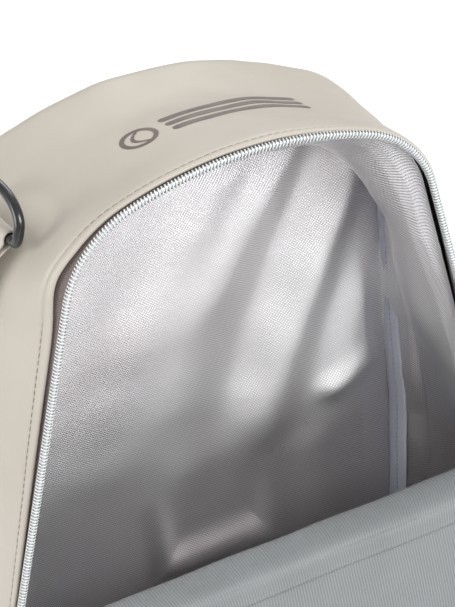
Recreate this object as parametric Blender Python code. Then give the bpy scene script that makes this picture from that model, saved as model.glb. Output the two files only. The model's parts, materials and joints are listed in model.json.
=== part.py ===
"""Racket backpack with an insulated front compartment, built as separate sub-parts.

Units are metres, +Z is up, the front of the bag faces -Y and the wearer's back is at +Y.
The origin is on the floor, under the middle of the base. The front door is open and hangs
in front of the lower panel. The back panel, which carries the straps, is zipped shut.
"""
import math

import bmesh
import bpy
from mathutils import Matrix, Vector

# ---------------------------------------------------------------- driving dimensions
RIM_Y = -0.088          # plane of the front zip
BODY_Y = 0.034          # where the body is fullest
BACK_Y = 0.068          # rear edge of the gusset, where the rear zip runs
LIP_Z = 0.240           # fold line of the front door
DIVIDER_Y = -0.008      # front face of the padded wall between the compartments
BASE_CORNER = 0.048     # radius of the two lower corners
LOWER_RADIUS = 0.280    # long curve below the flared side lines

# outline stations: half width at the lip, height, side flare in degrees, top and shoulder radius
FRONT_OUTLINE = (0.146, 0.480, 14.3, 0.185, 0.057)
BODY_OUTLINE = (0.135, 0.463, 1.0, 0.200, 0.072)
BACK_INSET = 0.013      # how far the rear edge draws in from the fullest outline
REAR_DROP = 0.026       # how far the top slopes down from the fullest outline to the rear edge
REAR_DROP_POWER = 1.3   # the slope starts gently and steepens toward the rear

LEATHER = 0.0022        # coated fabric
GAP = 0.0003            # clearance between touching pieces
COIL_R = 0.0021         # front zip coil radius
TAPE = 0.0008           # zip tape thickness
FOIL = 0.0008           # metallised lining thickness

DOOR_REST_DEG = 160.0   # how far the door has fallen from closed
DOOR_AXIS_Y = RIM_Y - 0.0085
DOOR_SKIN = 0.0018
DOOR_FOAM = 0.0040
DOOR_LINING = 0.0009
DOOR_EDGE = 0.0150      # inset of the door's layers, to clear the zip
DIVIDER = 0.006         # thickness of the padded divider
PAD = 0.010             # thickness of the back pads
STRAP_THICK = 0.011

SLIDER_LENGTH = 0.014
D_BAR_Y = RIM_Y + 0.0595
D_BAR_Z = 0.4435
D_WIRE_R = 0.0026
D_HALF_WIDTH = 0.0225
D_SHANK = 0.0080        # straight sides of the ring, below its bow
D_BOW = 0.0115
D_LEAN_DEG = 15.0       # the ring leans inward, over the shoulder

# ---------------------------------------------------------------- scene helpers
for old in list(bpy.data.objects):
    bpy.data.objects.remove(old, do_unlink=True)

PARTS = bpy.data.collections.new("racket_backpack")
CUTTERS = bpy.data.collections.new("cutters")
bpy.context.scene.collection.children.link(PARTS)
bpy.context.scene.collection.children.link(CUTTERS)


def material(name, colour, roughness, metallic=0.0):
    """A Principled material with one colour, roughness and metallic value."""
    mat = bpy.data.materials.new(name)
    mat.use_nodes = True
    shader = mat.node_tree.nodes["Principled BSDF"]
    shader.inputs["Base Color"].default_value = (*colour, 1.0)
    shader.inputs["Roughness"].default_value = roughness
    shader.inputs["Metallic"].default_value = metallic
    return mat


TAUPE = material("taupe_leather", (0.56, 0.52, 0.46), 0.55)
TAUPE_DARK = material("tape_brown", (0.23, 0.19, 0.17), 0.8)
SILVER_COIL = material("zip_silver", (0.62, 0.62, 0.62), 0.35, 0.6)
FOIL_MAT = material("silver_foil", (0.72, 0.71, 0.71), 0.32, 0.8)
BINDING = material("grosgrain_grey", (0.38, 0.39, 0.44), 0.75)
NYLON = material("ribbed_nylon", (0.40, 0.42, 0.43), 0.6)
FOAM = material("foam_white", (0.80, 0.80, 0.78), 0.9)
BLACK_METAL = material("black_metal", (0.02, 0.02, 0.02), 0.35, 0.7)
MESH = material("spacer_mesh", (0.30, 0.28, 0.26), 0.85)
WEBBING = material("webbing_taupe", (0.40, 0.36, 0.32), 0.75)
PLASTIC = material("acetal_taupe", (0.20, 0.18, 0.16), 0.45)
BOARD = material("stiffener_board", (0.10, 0.10, 0.10), 0.7)


def link(name, mesh, mat, origin=(0.0, 0.0, 0.0), smooth=True):
    """Put a mesh, given in world coordinates, on an object whose origin is at origin."""
    mesh.transform(Matrix.Translation(-Vector(origin)))
    obj = bpy.data.objects.new(name, mesh)
    obj.location = origin
    mesh.materials.clear()
    mesh.materials.append(mat)
    PARTS.objects.link(obj)
    if smooth:
        mesh.shade_smooth()
        mesh.set_sharp_from_angle(angle=math.radians(40))
    return obj


def link_bmesh(name, bm, mat, origin=(0.0, 0.0, 0.0)):
    """Close a bmesh off as an object with its faces pointing out."""
    bmesh.ops.recalc_face_normals(bm, faces=bm.faces)
    mesh = bpy.data.meshes.new(name)
    bm.to_mesh(mesh)
    bm.free()
    return link(name, mesh, mat, origin)


def from_curve(name, curve, mat, origin=(0.0, 0.0, 0.0), matrix=None):
    """Turn a curve into a closed mesh object."""
    temp = bpy.data.objects.new(name + "_curve", curve)
    PARTS.objects.link(temp)
    bpy.context.view_layer.update()
    evaluated = temp.evaluated_get(bpy.context.evaluated_depsgraph_get())
    mesh = bpy.data.meshes.new_from_object(evaluated)
    bpy.data.objects.remove(temp, do_unlink=True)
    bm = bmesh.new()
    bm.from_mesh(mesh)
    bmesh.ops.remove_doubles(bm, verts=bm.verts, dist=0.00005)
    if matrix is not None:
        bmesh.ops.transform(bm, matrix=matrix, verts=bm.verts)
    return link_bmesh(name, bm, mat, origin)


def tube(name, points, radius, mat, origin=(0.0, 0.0, 0.0), cyclic=False):
    """A round wire along points."""
    curve = bpy.data.curves.new(name, "CURVE")
    curve.dimensions = "3D"
    curve.bevel_depth = radius
    curve.bevel_resolution = 2
    curve.use_fill_caps = not cyclic
    spline = curve.splines.new("POLY")
    spline.points.add(len(points) - 1)
    for point, place in zip(spline.points, points):
        point.co = (*place, 1.0)
    spline.use_cyclic_u = cyclic
    return from_curve(name, curve, mat, origin)


def plate(name, outline, thickness, mat, matrix, origin=(0.0, 0.0, 0.0), holes=()):
    """A flat piece: a closed 2D outline, extruded, then placed by matrix."""
    curve = bpy.data.curves.new(name, "CURVE")
    curve.dimensions = "2D"
    curve.fill_mode = "BOTH"
    curve.extrude = thickness / 2
    for loop in (outline, *holes):
        spline = curve.splines.new("POLY")
        spline.points.add(len(loop) - 1)
        for point, (u, v) in zip(spline.points, loop):
            point.co = (u, v, 0.0, 1.0)
        spline.use_cyclic_u = True
    return from_curve(name, curve, mat, origin, matrix)


def block(name, size, centre, mat, bevel=0.0, matrix=None, origin=None):
    """A box with rounded edges, turned by matrix about its own centre."""
    bm = bmesh.new()
    bmesh.ops.create_cube(bm, size=1.0)
    bmesh.ops.scale(bm, vec=size, verts=bm.verts)
    if bevel > 0.0:
        bmesh.ops.bevel(bm, geom=bm.edges[:], offset=bevel, segments=2, affect="EDGES", profile=0.5)
    if matrix is not None:
        bmesh.ops.transform(bm, matrix=matrix, verts=bm.verts)
    bmesh.ops.translate(bm, vec=centre, verts=bm.verts)
    return link_bmesh(name, bm, mat, centre if origin is None else origin)


def rounded_rect(width, height, radius, steps=4):
    """A centred rectangle with round corners."""
    points = []
    corners = ((1, 1, 0), (-1, 1, 90), (-1, -1, 180), (1, -1, 270))
    for sx, sy, start in corners:
        for k in range(steps + 1):
            angle = math.radians(start + 90 * k / steps)
            u = sx * (width / 2 - radius) + radius * math.cos(angle)
            v = sy * (height / 2 - radius) + radius * math.sin(angle)
            points.append((u, v))
    return points


# plates are drawn in X and Z, so that their thickness lies along Y
UPRIGHT = Matrix.Rotation(math.radians(90), 4, "X")


# ---------------------------------------------------------------- the body's outline
def outline_at(y):
    """The outline's driving values at a station: full in the middle, with a top that slopes to the rear."""
    t = min(max((y - RIM_Y) / (BODY_Y - RIM_Y), 0.0), 1.0)
    swell = math.sin(math.pi / 2 * t)
    half_width, height, *rest = [a + (b - a) * swell for a, b in zip(FRONT_OUTLINE, BODY_OUTLINE)]
    rear = min(max((y - BODY_Y) / (BACK_Y - BODY_Y), 0.0), 1.0)
    return [half_width, height - REAR_DROP * rear ** REAR_DROP_POWER, *rest]


def rear_inset(y):
    """The rear edge draws in, along a quarter of an ellipse."""
    if y <= BODY_Y:
        return 0.0
    t = min((y - BODY_Y) / (BACK_Y - BODY_Y), 1.0)
    return BACK_INSET * (1.0 - math.sqrt(max(1.0 - 0.9 * t * t, 0.0)))


def arc(centre, radius, start, end, steps):
    """Points on an arc, ends included."""
    points = []
    for k in range(steps + 1):
        angle = start + (end - start) * k / steps
        points.append((centre[0] + radius * math.cos(angle), centre[1] + radius * math.sin(angle)))
    return points


CORNER_STEPS = 4
LOWER_STEPS = 3
SIDE_STEPS = 6
SHOULDER_STEPS = 6
TOP_STEPS = 7


def shoulder_centre(half_width, height, flare, top_r, shoulder_r):
    """Centre of the shoulder arc, and the angle at which it meets the top arc."""
    normal = Vector((math.cos(flare), math.sin(flare)))
    along = Vector((-normal.y, normal.x))
    start = normal * (normal.dot(Vector((half_width, LIP_Z))) - shoulder_r)
    top = Vector((0.0, height - top_r))
    offset = start - top
    b = offset.dot(along)
    c = offset.dot(offset) - (top_r - shoulder_r) ** 2
    centre = start + along * (math.sqrt(b * b - c) - b)
    return centre, math.atan2(centre.y - top.y, centre.x)


STATIONS = (RIM_Y, RIM_Y + 0.005, RIM_Y + 0.018, RIM_Y + 0.034, RIM_Y + 0.052, DIVIDER_Y - 0.010,
            0.006, BODY_Y, 0.046, 0.055, BACK_Y - 0.008, BACK_Y, 0.080)


def half_outline(y, inset):
    """Right half of the outline at y, from the middle of the base to the top.

    The surface is ruled between the stations, so that pieces laid on it meet it exactly."""
    for low, high in zip(STATIONS, STATIONS[1:]):
        if y <= high:
            break
    t = min(max((y - low) / (high - low), 0.0), 1.0)
    before = station_outline(low, inset)
    after = station_outline(high, inset)
    return [(a[0] + (b[0] - a[0]) * t, a[1] + (b[1] - a[1]) * t) for a, b in zip(before, after)]


def station_outline(y, inset):
    """The true outline at a station."""
    half_width, height, flare_deg, top_r, shoulder_r = outline_at(y)
    inset = inset + rear_inset(y)
    flare = math.radians(flare_deg)
    widest = half_width + LOWER_RADIUS * (1 - math.cos(flare))
    points = [(0.0, inset)]
    corner = (widest - BASE_CORNER, BASE_CORNER)
    points += arc(corner, BASE_CORNER - inset, -math.pi / 2, 0.0, CORNER_STEPS)
    lower = (half_width - LOWER_RADIUS * math.cos(flare), LIP_Z - LOWER_RADIUS * math.sin(flare))
    points += arc(lower, LOWER_RADIUS - inset, 0.0, flare, LOWER_STEPS)
    centre, meet = shoulder_centre(half_width, height, flare, top_r, shoulder_r)
    shoulder = arc(centre, shoulder_r - inset, flare, meet, SHOULDER_STEPS)
    foot, head = points[-1], shoulder[0]
    step = ((head[0] - foot[0]) / SIDE_STEPS, (head[1] - foot[1]) / SIDE_STEPS)
    points += [(foot[0] + step[0] * k, foot[1] + step[1] * k) for k in range(1, SIDE_STEPS)]
    points += shoulder
    points += arc((0.0, height - top_r), top_r - inset, meet, math.pi / 2, TOP_STEPS)[1:]
    return points


LIP_INDEX = 1 + (CORNER_STEPS + 1) + LOWER_STEPS    # the point of the half outline at the lip
CORNER_INDEX = 1 + CORNER_STEPS                     # the top of the round lower corner


def arch(y, inset, first):
    """The outline from point first of the left half, over the top, to the same point right."""
    half = half_outline(y, inset)[first:]
    left = [(-x, z) for x, z in half]
    return left + half[-2::-1]


def ring(y, inset):
    """The whole outline as a closed loop."""
    half = half_outline(y, inset)
    return [(-x, z) for x, z in half] + half[-2:0:-1]


def lift(points, y):
    """Stand outline points up at station y."""
    return [(x, y, z) for x, z in points]


def wall(name, loops, mat, closed):
    """A solid wall from cross-section loops: down the outside, then back up the inside."""
    bm = bmesh.new()
    rows = [[bm.verts.new(co) for co in row] for row in loops]
    count = len(rows[0])
    spans = count if closed else count - 1
    for i in range(len(rows)):
        row, after = rows[i], rows[(i + 1) % len(rows)]
        for k in range(spans):
            bm.faces.new((row[k], row[(k + 1) % count], after[(k + 1) % count], after[k]))
    if not closed:
        for k in (0, count - 1):
            for i in range(len(rows) // 2 - 1):
                j = len(rows) - 1 - i
                bm.faces.new((rows[i][k], rows[i + 1][k], rows[j - 1][k], rows[j][k]))
    return link_bmesh(name, bm, mat)


def band(name, stations, thickness, mat, first=None):
    """A wall that follows the outline: stations are (y, inset), thickness is its own.

    With first it is an arch that starts at that outline point, otherwise a closed ring."""
    both_skins = stations + [(y, inset + thickness) for y, inset in reversed(stations)]
    if first is None:
        return wall(name, [lift(ring(y, inset), y) for y, inset in both_skins], mat, closed=True)
    return wall(name, [lift(arch(y, inset, first), y) for y, inset in both_skins], mat, closed=False)


def panel(name, y_low, y_high, inset, mat, shape_y=None, z_max=None, z_min=None, offset=None):
    """A flat wall across the outline, between y_low and y_high, cut off at z_max or z_min."""
    points = ring(y_low if shape_y is None else shape_y, inset)
    if z_max is not None:
        points = clip(points, z_max, keep_below=True)
    if z_min is not None:
        points = clip(points, z_min, keep_below=False)
    place = Matrix.Translation((0.0, (y_low + y_high) / 2, 0.0)) @ UPRIGHT
    if offset is not None:
        place = offset @ place
    return plate(name, points, y_high - y_low, mat, place)


def clip(points, level, keep_below):
    """The part of a closed outline below, or above, a level line."""
    kept = []
    for a, b in zip(points, points[1:] + points[:1]):
        inside = (a[1] <= level) == keep_below
        if inside:
            kept.append(a)
        if (a[1] <= level) != (b[1] <= level):
            t = (level - a[1]) / (b[1] - a[1])
            kept.append((a[0] + (b[0] - a[0]) * t, level))
    return kept


# ---------------------------------------------------------------- shell and inner walls
def make_shell():
    """The coated gusset, the base, the lower front panel and the inner walls."""
    stations = STATIONS[1:-2]
    band("gusset", [(y, 0.0) for y in stations], LEATHER, TAUPE, first=CORNER_INDEX)
    base_panel(stations)
    panel("back_lower_wall", BACK_Y - 0.008 + GAP, BACK_Y + 0.002, 0.0, TAUPE, shape_y=BACK_Y,
          z_max=BACK_LOW_Z - 0.002)
    panel("front_lower_panel", RIM_Y - 0.0012, RIM_Y + 0.005 - GAP, 0.0, TAUPE, shape_y=RIM_Y,
          z_max=LIP_Z - 0.008)
    half = half_outline(RIM_Y, 0.004)[LIP_INDEX][0]
    block("door_fold_strip", (2 * half, 0.0072, 0.0074), (0.0, RIM_Y - 0.0012, LIP_Z - 0.004), TAUPE, 0.0015)
    panel("divider_wall", DIVIDER_Y, DIVIDER_Y + DIVIDER, LEATHER + 0.0008, FOAM)
    stiff_low = DIVIDER_Y + DIVIDER + 2 * GAP
    stiff_high = BODY_Y + 0.010
    block("base_board", (0.168, stiff_high - stiff_low, 0.003),
          (0.0, (stiff_low + stiff_high) / 2, LEATHER + 0.0024), BOARD, 0.0008)


def base_panel(stations):
    """The reinforced base: it closes the ring below the gusset, corners included."""
    def trough(y, inset):
        half = half_outline(y, inset)[:CORNER_INDEX + 1]
        last = half[-1]
        half[-1] = (last[0], last[1] - GAP)
        left = [(-x, z) for x, z in reversed(half)]
        return lift(left + half[1:], y)

    outside = [trough(y, 0.0) for y in stations]
    inside = [trough(y, LEATHER) for y in reversed(stations)]
    return wall("base_panel", outside + inside, TAUPE, closed=False)


LINING_FRONT_INSET = LEATHER + TAPE + 5 * GAP   # the lining hangs just inside the zip tape
LINING_REAR_INSET = 0.018                       # and narrows to the seam at the divider


def make_lining():
    """The insulated compartment: side lining, back lining, lower front lining, seam binding."""
    y0 = RIM_Y + 0.0055
    y1 = DIVIDER_Y - 0.0022

    def depth_inset(y):
        t = (y - y0) / (y1 - y0)
        return LINING_FRONT_INSET + (LINING_REAR_INSET - LINING_FRONT_INSET) * t

    stations = [(y, depth_inset(y)) for y in (y0, *[y for y in STATIONS if y0 < y < y1], y1)]
    band("insulated_gusset_lining", stations, FOIL, FOIL_MAT)
    panel("insulated_back_lining", DIVIDER_Y - 0.0015, DIVIDER_Y - GAP, LINING_REAR_INSET - 0.008, FOIL_MAT)
    panel("insulated_front_lining", y0 + 0.0005, y0 + 0.0015, LINING_FRONT_INSET + FOIL + 0.0012, FOIL_MAT,
          shape_y=y0 + 0.001, z_max=LIP_Z - 0.012)
    binding = [(y, depth_inset(y) + FOIL + 2 * GAP) for y in (y1 - 0.012, STATIONS[5], y1 - 0.001)]
    band("seam_binding", binding, 0.0010, BINDING, first=1)


# ---------------------------------------------------------------- front zip and door
def make_front_zip():
    """Tape and coil on the rim of the bag, from one end of the lip to the other."""
    inset = LEATHER + 2 * GAP
    stations = [(RIM_Y + 0.0008 + COIL_R, inset), (RIM_Y + 0.005, inset), (RIM_Y + 0.012, inset)]
    band("front_zip_tape_body", stations,
         TAPE, TAUPE_DARK, first=LIP_INDEX)
    path = lift(arch(RIM_Y, LEATHER, LIP_INDEX), RIM_Y + 0.0004)
    tube("front_zip_coil_body", path, COIL_R, SILVER_COIL)


HINGE = (0.0, DOOR_AXIS_Y, LIP_Z)


def door_turn():
    """Swings a door piece from closed to where it hangs at rest."""
    there = Matrix.Translation(HINGE)
    return there @ Matrix.Rotation(math.radians(DOOR_REST_DEG), 4, "X") @ there.inverted()


def door_point(x, y, z):
    """A point of the closed door, moved to the rest pose."""
    return tuple(door_turn() @ Vector((x, y, z)))


DOOR_COIL_INSET = LEATHER + 2 * COIL_R + 0.0008
DOOR_ZIP_START = 0.030      # the door's coil stops short of the fold


def above(points, level):
    """The stretch of an arch above a level, cut to start exactly on it."""
    kept = [p for p in points if p[1] > level]
    first = points.index(kept[0])
    low, high = points[first - 1], points[first]
    t = (level - low[1]) / (high[1] - low[1])
    x = low[0] + (high[0] - low[0]) * t
    return [(x, level)] + kept + [(-x, level)]


def make_door():
    """The front door in its layers, hinged on the lip, hanging open."""
    turn = door_turn()
    skin_low = DOOR_AXIS_Y + 0.0008
    skin_high = skin_low + DOOR_SKIN
    foam_high = skin_high + GAP + DOOR_FOAM
    lining_high = foam_high + GAP + DOOR_LINING
    edge = DOOR_EDGE
    bottom = LIP_Z + 0.004
    panel("door_outer_skin", skin_low, skin_high, edge - 0.003, TAUPE, RIM_Y, z_min=bottom, offset=turn)
    panel("door_foam", skin_high + GAP, foam_high, edge + 0.002, FOAM, RIM_Y,
          z_min=bottom + 0.003, offset=turn)
    panel("door_inner_lining", foam_high + GAP, lining_high, edge, NYLON, RIM_Y, z_min=bottom, offset=turn)
    coil_y = skin_high + GAP + 0.0004
    closed = arch(RIM_Y, DOOR_COIL_INSET, LIP_INDEX)
    closed = above(closed, LIP_Z + DOOR_ZIP_START)
    path = [door_point(x, coil_y + 0.0018, z) for x, z in closed]
    tube("front_zip_coil_door", path, COIL_R, SILVER_COIL, HINGE)
    door_tape(turn, coil_y + 0.0014)
    door_pocket(turn, skin_low)


def door_tape(turn, y):
    """The door's zip tape: a flat arch between the coil and the foam."""
    outer = arch(RIM_Y, DOOR_COIL_INSET + COIL_R + 3 * GAP, LIP_INDEX)
    inner = arch(RIM_Y, DOOR_EDGE + 0.0015, LIP_INDEX)
    outer = above(outer, LIP_Z + DOOR_ZIP_START)
    inner = above(inner, LIP_Z + DOOR_ZIP_START)
    place = turn @ Matrix.Translation((0.0, y, 0.0)) @ UPRIGHT
    plate("front_zip_tape_door", outer + inner[::-1], TAPE, TAUPE_DARK, place, HINGE)


POCKET_WIDTH = 0.150
POCKET_LOW = LIP_Z + 0.072
POCKET_HIGH = LIP_Z + 0.192
POCKET_DEPTH = 0.013
POCKET_ZIP_Z = POCKET_HIGH - 0.020


def door_pocket(turn, skin_low):
    """Accessory pocket on the outside of the door, with its zip and slider."""
    height = POCKET_HIGH - POCKET_LOW
    middle = (POCKET_HIGH + POCKET_LOW) / 2
    outer = rounded_rect(POCKET_WIDTH, height, 0.016)
    y = skin_low - GAP - POCKET_DEPTH / 2
    place = turn @ Matrix.Translation((0.0, y, middle)) @ UPRIGHT
    hollow = plate("pocket_hollow", rounded_rect(POCKET_WIDTH - 0.004, height - 0.004, 0.014),
                   POCKET_DEPTH - 0.004, FOAM, place)
    mouth = block("pocket_mouth", (POCKET_WIDTH - 0.030, 0.010, 0.0090), (0.0, 0.0, 0.0), FOAM,
                  matrix=turn.to_3x3().to_4x4(), origin=(0.0, 0.0, 0.0))
    mouth.location = door_point(0.0, y - POCKET_DEPTH / 2, POCKET_ZIP_Z)
    pocket = plate("door_pocket", outer, POCKET_DEPTH, TAUPE, place)
    for cutter in (hollow, mouth):
        PARTS.objects.unlink(cutter)
        CUTTERS.objects.link(cutter)
        cutter.hide_render = True
        cutter.display_type = "WIRE"
        cut = pocket.modifiers.new(cutter.name, "BOOLEAN")
        cut.operation = "DIFFERENCE"
        cut.object = cutter
    outside = y - POCKET_DEPTH / 2
    slider_x = -(POCKET_WIDTH / 2 - 0.026)
    slider_centre = door_point(slider_x, outside - 0.0013 - GAP, POCKET_ZIP_Z)
    block("pocket_slider", (0.010, 0.0026, 0.0086), slider_centre, BLACK_METAL, 0.0006,
          matrix=turn.to_3x3().to_4x4())


# ---------------------------------------------------------------- sliders and pulls
def side_line():
    """A point at the lip on the right front coil, and the direction up the flared side."""
    flare = math.radians(FRONT_OUTLINE[2])
    x = half_outline(RIM_Y, LEATHER)[LIP_INDEX][0]
    return Vector((x, RIM_Y, LIP_Z)), Vector((-math.sin(flare), 0.0, math.cos(flare)))


def make_front_sliders():
    """The two sliders that wait at the lower ends of the front zip, with their pulls."""
    start, up = side_line()
    flare = FRONT_OUTLINE[2]
    for side, suffix in ((-1, "left"), (1, "right")):
        lean = Matrix.Rotation(math.radians(-flare * side), 4, "Y")
        centre = start + up * 0.016
        centre = Vector((side * (centre.x + 0.0018), RIM_Y - COIL_R - 0.0020, centre.z))
        block("front_slider_" + suffix, (0.0076, 0.0030, SLIDER_LENGTH), centre, SILVER_COIL, 0.0008, lean)
        pivot = centre + Vector((0.0, -0.0015 - PULL_EYE - 0.0005, 0.0))
        make_pull("front_pull_" + suffix, pivot, 0.034, SILVER_COIL)


PULL_EYE = 0.0026       # from the pull's pivot to its upper end


def make_pull(name, pivot, length, mat):
    """A flat puller that hangs from its pivot; the pivot is the object's origin."""
    outline = rounded_rect(0.0070, length, 0.0030, steps=3)
    drop = length / 2 - PULL_EYE
    hole = [(0.0015 * math.cos(a), drop + 0.0015 * math.sin(a))
            for a in [math.radians(45 * k) for k in range(8)]]
    place = Matrix.Translation(Vector(pivot) + Vector((0.0, 0.0, -drop)))
    plate(name, outline, 0.0018, mat, place @ UPRIGHT, origin=tuple(pivot), holes=(hole,))


# ---------------------------------------------------------------- D-ring on the left shoulder
D_BAR_OUT = 0.0112      # how far the bar stands off the gusset
TAB_WIDTH = 0.032
TAB_LOW_Z = 0.396
TAB_LIFT = 0.0048       # clearance under the tab, on the curved gusset
TAB_THICK = 0.0042


def gusset_x(z, y, offset=0.0):
    """Half width at a height, on a surface that stands offset outside the gusset."""
    points = half_outline(y, -offset)[CORNER_INDEX:]
    for a, b in zip(points, points[1:]):
        if a[1] <= z <= b[1]:
            return a[0] + (b[0] - a[0]) * (z - a[1]) / (b[1] - a[1])
    return 0.0


def shoulder_frame():
    """Where the D-ring's bar sits, and the turn in plan that lays it along the swelling left side."""
    reach = TAB_WIDTH / 2
    middle_z = (TAB_LOW_Z + D_BAR_Z) / 2
    swell = gusset_x(middle_z, D_BAR_Y + reach) - gusset_x(middle_z, D_BAR_Y - reach)
    yaw = math.atan2(swell, 2 * reach)
    place = Matrix.Translation((0.0, D_BAR_Y, 0.0))
    pivot = Matrix.Translation((gusset_x(D_BAR_Z, D_BAR_Y), 0.0, 0.0))
    turn = pivot @ Matrix.Rotation(-yaw, 4, "Z") @ pivot.inverted()
    return Matrix.Diagonal((-1.0, 1.0, 1.0, 1.0)) @ place @ turn


def make_d_ring():
    """A leather tab on the left shoulder holds a wire D-ring that can fall outward."""
    frame = shoulder_frame()
    bar = Vector((gusset_x(D_BAR_Z, D_BAR_Y) + D_BAR_OUT, 0.0, D_BAR_Z))
    lean = math.radians(D_LEAN_DEG)
    wire = [frame @ (bar + Vector((-z * math.sin(lean), y, z * math.cos(lean)))) for y, z in d_wire()]
    tube("d_ring", wire, D_WIRE_R, BLACK_METAL, tuple(frame @ bar), cyclic=True)
    outline, eye = d_tab(Vector((bar.x, bar.z)))
    stand = Matrix(((1, 0, 0, 0), (0, 0, -1, 0), (0, 1, 0, 0), (0, 0, 0, 1)))
    plate("d_ring_tab", outline, TAB_WIDTH, TAUPE, frame @ stand, holes=(eye,))


def d_wire():
    """The wire's path in its own plane: a bow above a straight bar."""
    steps = 14
    path = [(D_HALF_WIDTH * math.cos(math.pi * k / steps), D_SHANK + D_BOW * math.sin(math.pi * k / steps))
            for k in range(steps + 1)]
    return path + [((D_HALF_WIDTH - 0.0010) * t, 0.0) for t in (-1.0, 0.0, 1.0)]


def d_tab(bar):
    """Section of the folded tab: it follows the gusset up to the bar and loops round it."""
    heights = [TAB_LOW_Z + (bar.y - 0.010 - TAB_LOW_Z) * k / 4 for k in range(5)]
    inner = [(gusset_x(z, D_BAR_Y, TAB_LIFT), z) for z in heights]
    outer = [(gusset_x(z, D_BAR_Y, TAB_LIFT + TAB_THICK), z) for z in heights]
    eye_r = D_WIRE_R + 0.0004
    loop_r = eye_r + 0.0012
    loop = arc(bar, loop_r, math.radians(-20), math.radians(215), 9)
    eye = arc(bar, eye_r, 0.0, math.radians(330), 11)
    return outer + loop + inner[::-1], eye


# ---------------------------------------------------------------- back panel and rear zip
REAR_COIL_R = 0.0018
PANEL_FRONT_Y = BACK_Y + 0.0030
PANEL_BACK_Y = BACK_Y + 0.0100
BACK_LOW_Z = 0.050
BACK_HINGE = (0.0, PANEL_BACK_Y, BACK_LOW_Z)


def make_rear_zip():
    """The rear zip: one coil on the gusset, its mate on the back panel, closed."""
    first = CORNER_INDEX
    tape_y = BACK_Y - 0.008 + GAP
    band("rear_zip_tape_gusset", [(tape_y, 0.0007), (BACK_Y - 2 * REAR_COIL_R - 0.0015, 0.0007)],
         TAPE, TAUPE_DARK, first=first)
    inset = 0.0010
    y_gusset = BACK_Y - REAR_COIL_R - 0.0012
    y_panel = BACK_Y + REAR_COIL_R - 0.0009
    line = arch(y_gusset, inset, first)
    tube("rear_zip_coil_gusset", lift(line, y_gusset), REAR_COIL_R, TAUPE_DARK)
    tube("rear_zip_coil_panel", lift(line, y_panel), REAR_COIL_R, TAUPE_DARK, BACK_HINGE)


def make_back_panel():
    """The back panel is a padded lid that carries the straps and hinges along its lower edge."""
    panel("back_panel", PANEL_FRONT_Y, PANEL_BACK_Y, 0.0, TAUPE, shape_y=BACK_Y, z_min=BACK_LOW_Z)
    y = PANEL_BACK_Y + GAP
    pads = (("back_pad_left", -0.058, 0.296, 0.085, 0.156), ("back_pad_right", 0.058, 0.296, 0.085, 0.156),
            ("lumbar_pad", 0.0, 0.130, 0.166, 0.120))
    for name, x, z, width, height in pads:
        place = Matrix.Translation((x, y + PAD / 2, z)) @ UPRIGHT
        plate(name, rounded_rect(width, height, 0.022), PAD, MESH, place)


# ---------------------------------------------------------------- straps
STRAP_WIDTH = 0.062
STRAP_TOP_Z = 0.392
STRAP_ROUTE = ((0.046, 0.016, 0.392), (0.054, 0.024, 0.358), (0.070, 0.036, 0.312), (0.086, 0.044, 0.262),
               (0.098, 0.044, 0.212), (0.104, 0.036, 0.165))


def ribbon(name, route, width, thickness, mat, origin=(0.0, 0.0, 0.0), side=1, taper=None):
    """A flat strap: it runs along route, its width across X, its thickness along its normal."""
    bm = bmesh.new()
    rows = []
    for k, place in enumerate(route):
        before = Vector(route[max(k - 1, 0)])
        after = Vector(route[min(k + 1, len(route) - 1)])
        along = (after - before).normalized()
        across = Vector((-along.z, 0.0, along.x)).normalized() * -1.0
        normal = across.cross(along).normalized()
        half = width / 2 * (1.0 if taper is None else taper[k])
        deep = thickness / 2
        chamfer = min(deep * 0.8, half * 0.2)
        upper = ((half, deep - chamfer), (half - chamfer, deep),
                 (chamfer - half, deep), (-half, deep - chamfer))
        lower = [(-u, -v) for u, v in upper]
        row = []
        for u, v in (*upper, *lower):
            point = Vector(place) + across * u + normal * v
            row.append(bm.verts.new((side * point.x, point.y, point.z)))
        rows.append(row)
    for row, after in zip(rows, rows[1:]):
        for k in range(8):
            bm.faces.new((row[k], row[(k + 1) % 8], after[(k + 1) % 8], after[k]))
    bm.faces.new(rows[0])
    bm.faces.new(rows[-1])
    return link_bmesh(name, bm, mat, origin)


HANDLE_HALF = 0.042
HANDLE_RISE = 0.024
HANDLE_STEPS = 10
HANDLE_STAND_OFF = 0.0150   # lets the zip's pull pass beneath the handle
ANCHOR_X = 0.106
ANCHOR_Z = 0.078


def make_straps():
    """Padded shoulder straps, their adjusters, lower webbings and anchor tabs."""
    back = PANEL_BACK_Y
    for side, suffix in ((-1, "left"), (1, "right")):
        route = [(x, back + y, z) for x, y, z in STRAP_ROUTE]
        ribbon("shoulder_strap_" + suffix, route, STRAP_WIDTH, STRAP_THICK, MESH, side=side,
               taper=(0.80, 0.92, 1.0, 1.0, 0.95, 0.80))
        end = Vector(route[-1])
        foot = Vector((ANCHOR_X, back + 0.0115, ANCHOR_Z + 0.012))
        down = (foot - end).normalized()
        gap_start = end + down * 0.0308
        adjuster(side, suffix, end, down)
        web = [gap_start - down * 0.0046, gap_start + (foot - gap_start) * 0.5, foot - down * 0.0030]
        ribbon("strap_webbing_" + suffix, [tuple(p) for p in web], 0.024, 0.0016, WEBBING, side=side)
        sewn = (ANCHOR_X - 0.004, back + 0.0022, ANCHOR_Z - 0.018)
        bend = (ANCHOR_X - 0.002, back + 0.0045, ANCHOR_Z)
        ribbon("strap_anchor_" + suffix, [sewn, bend, tuple(foot)], 0.034, 0.0032, TAUPE, side=side)
    yoke()


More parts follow.
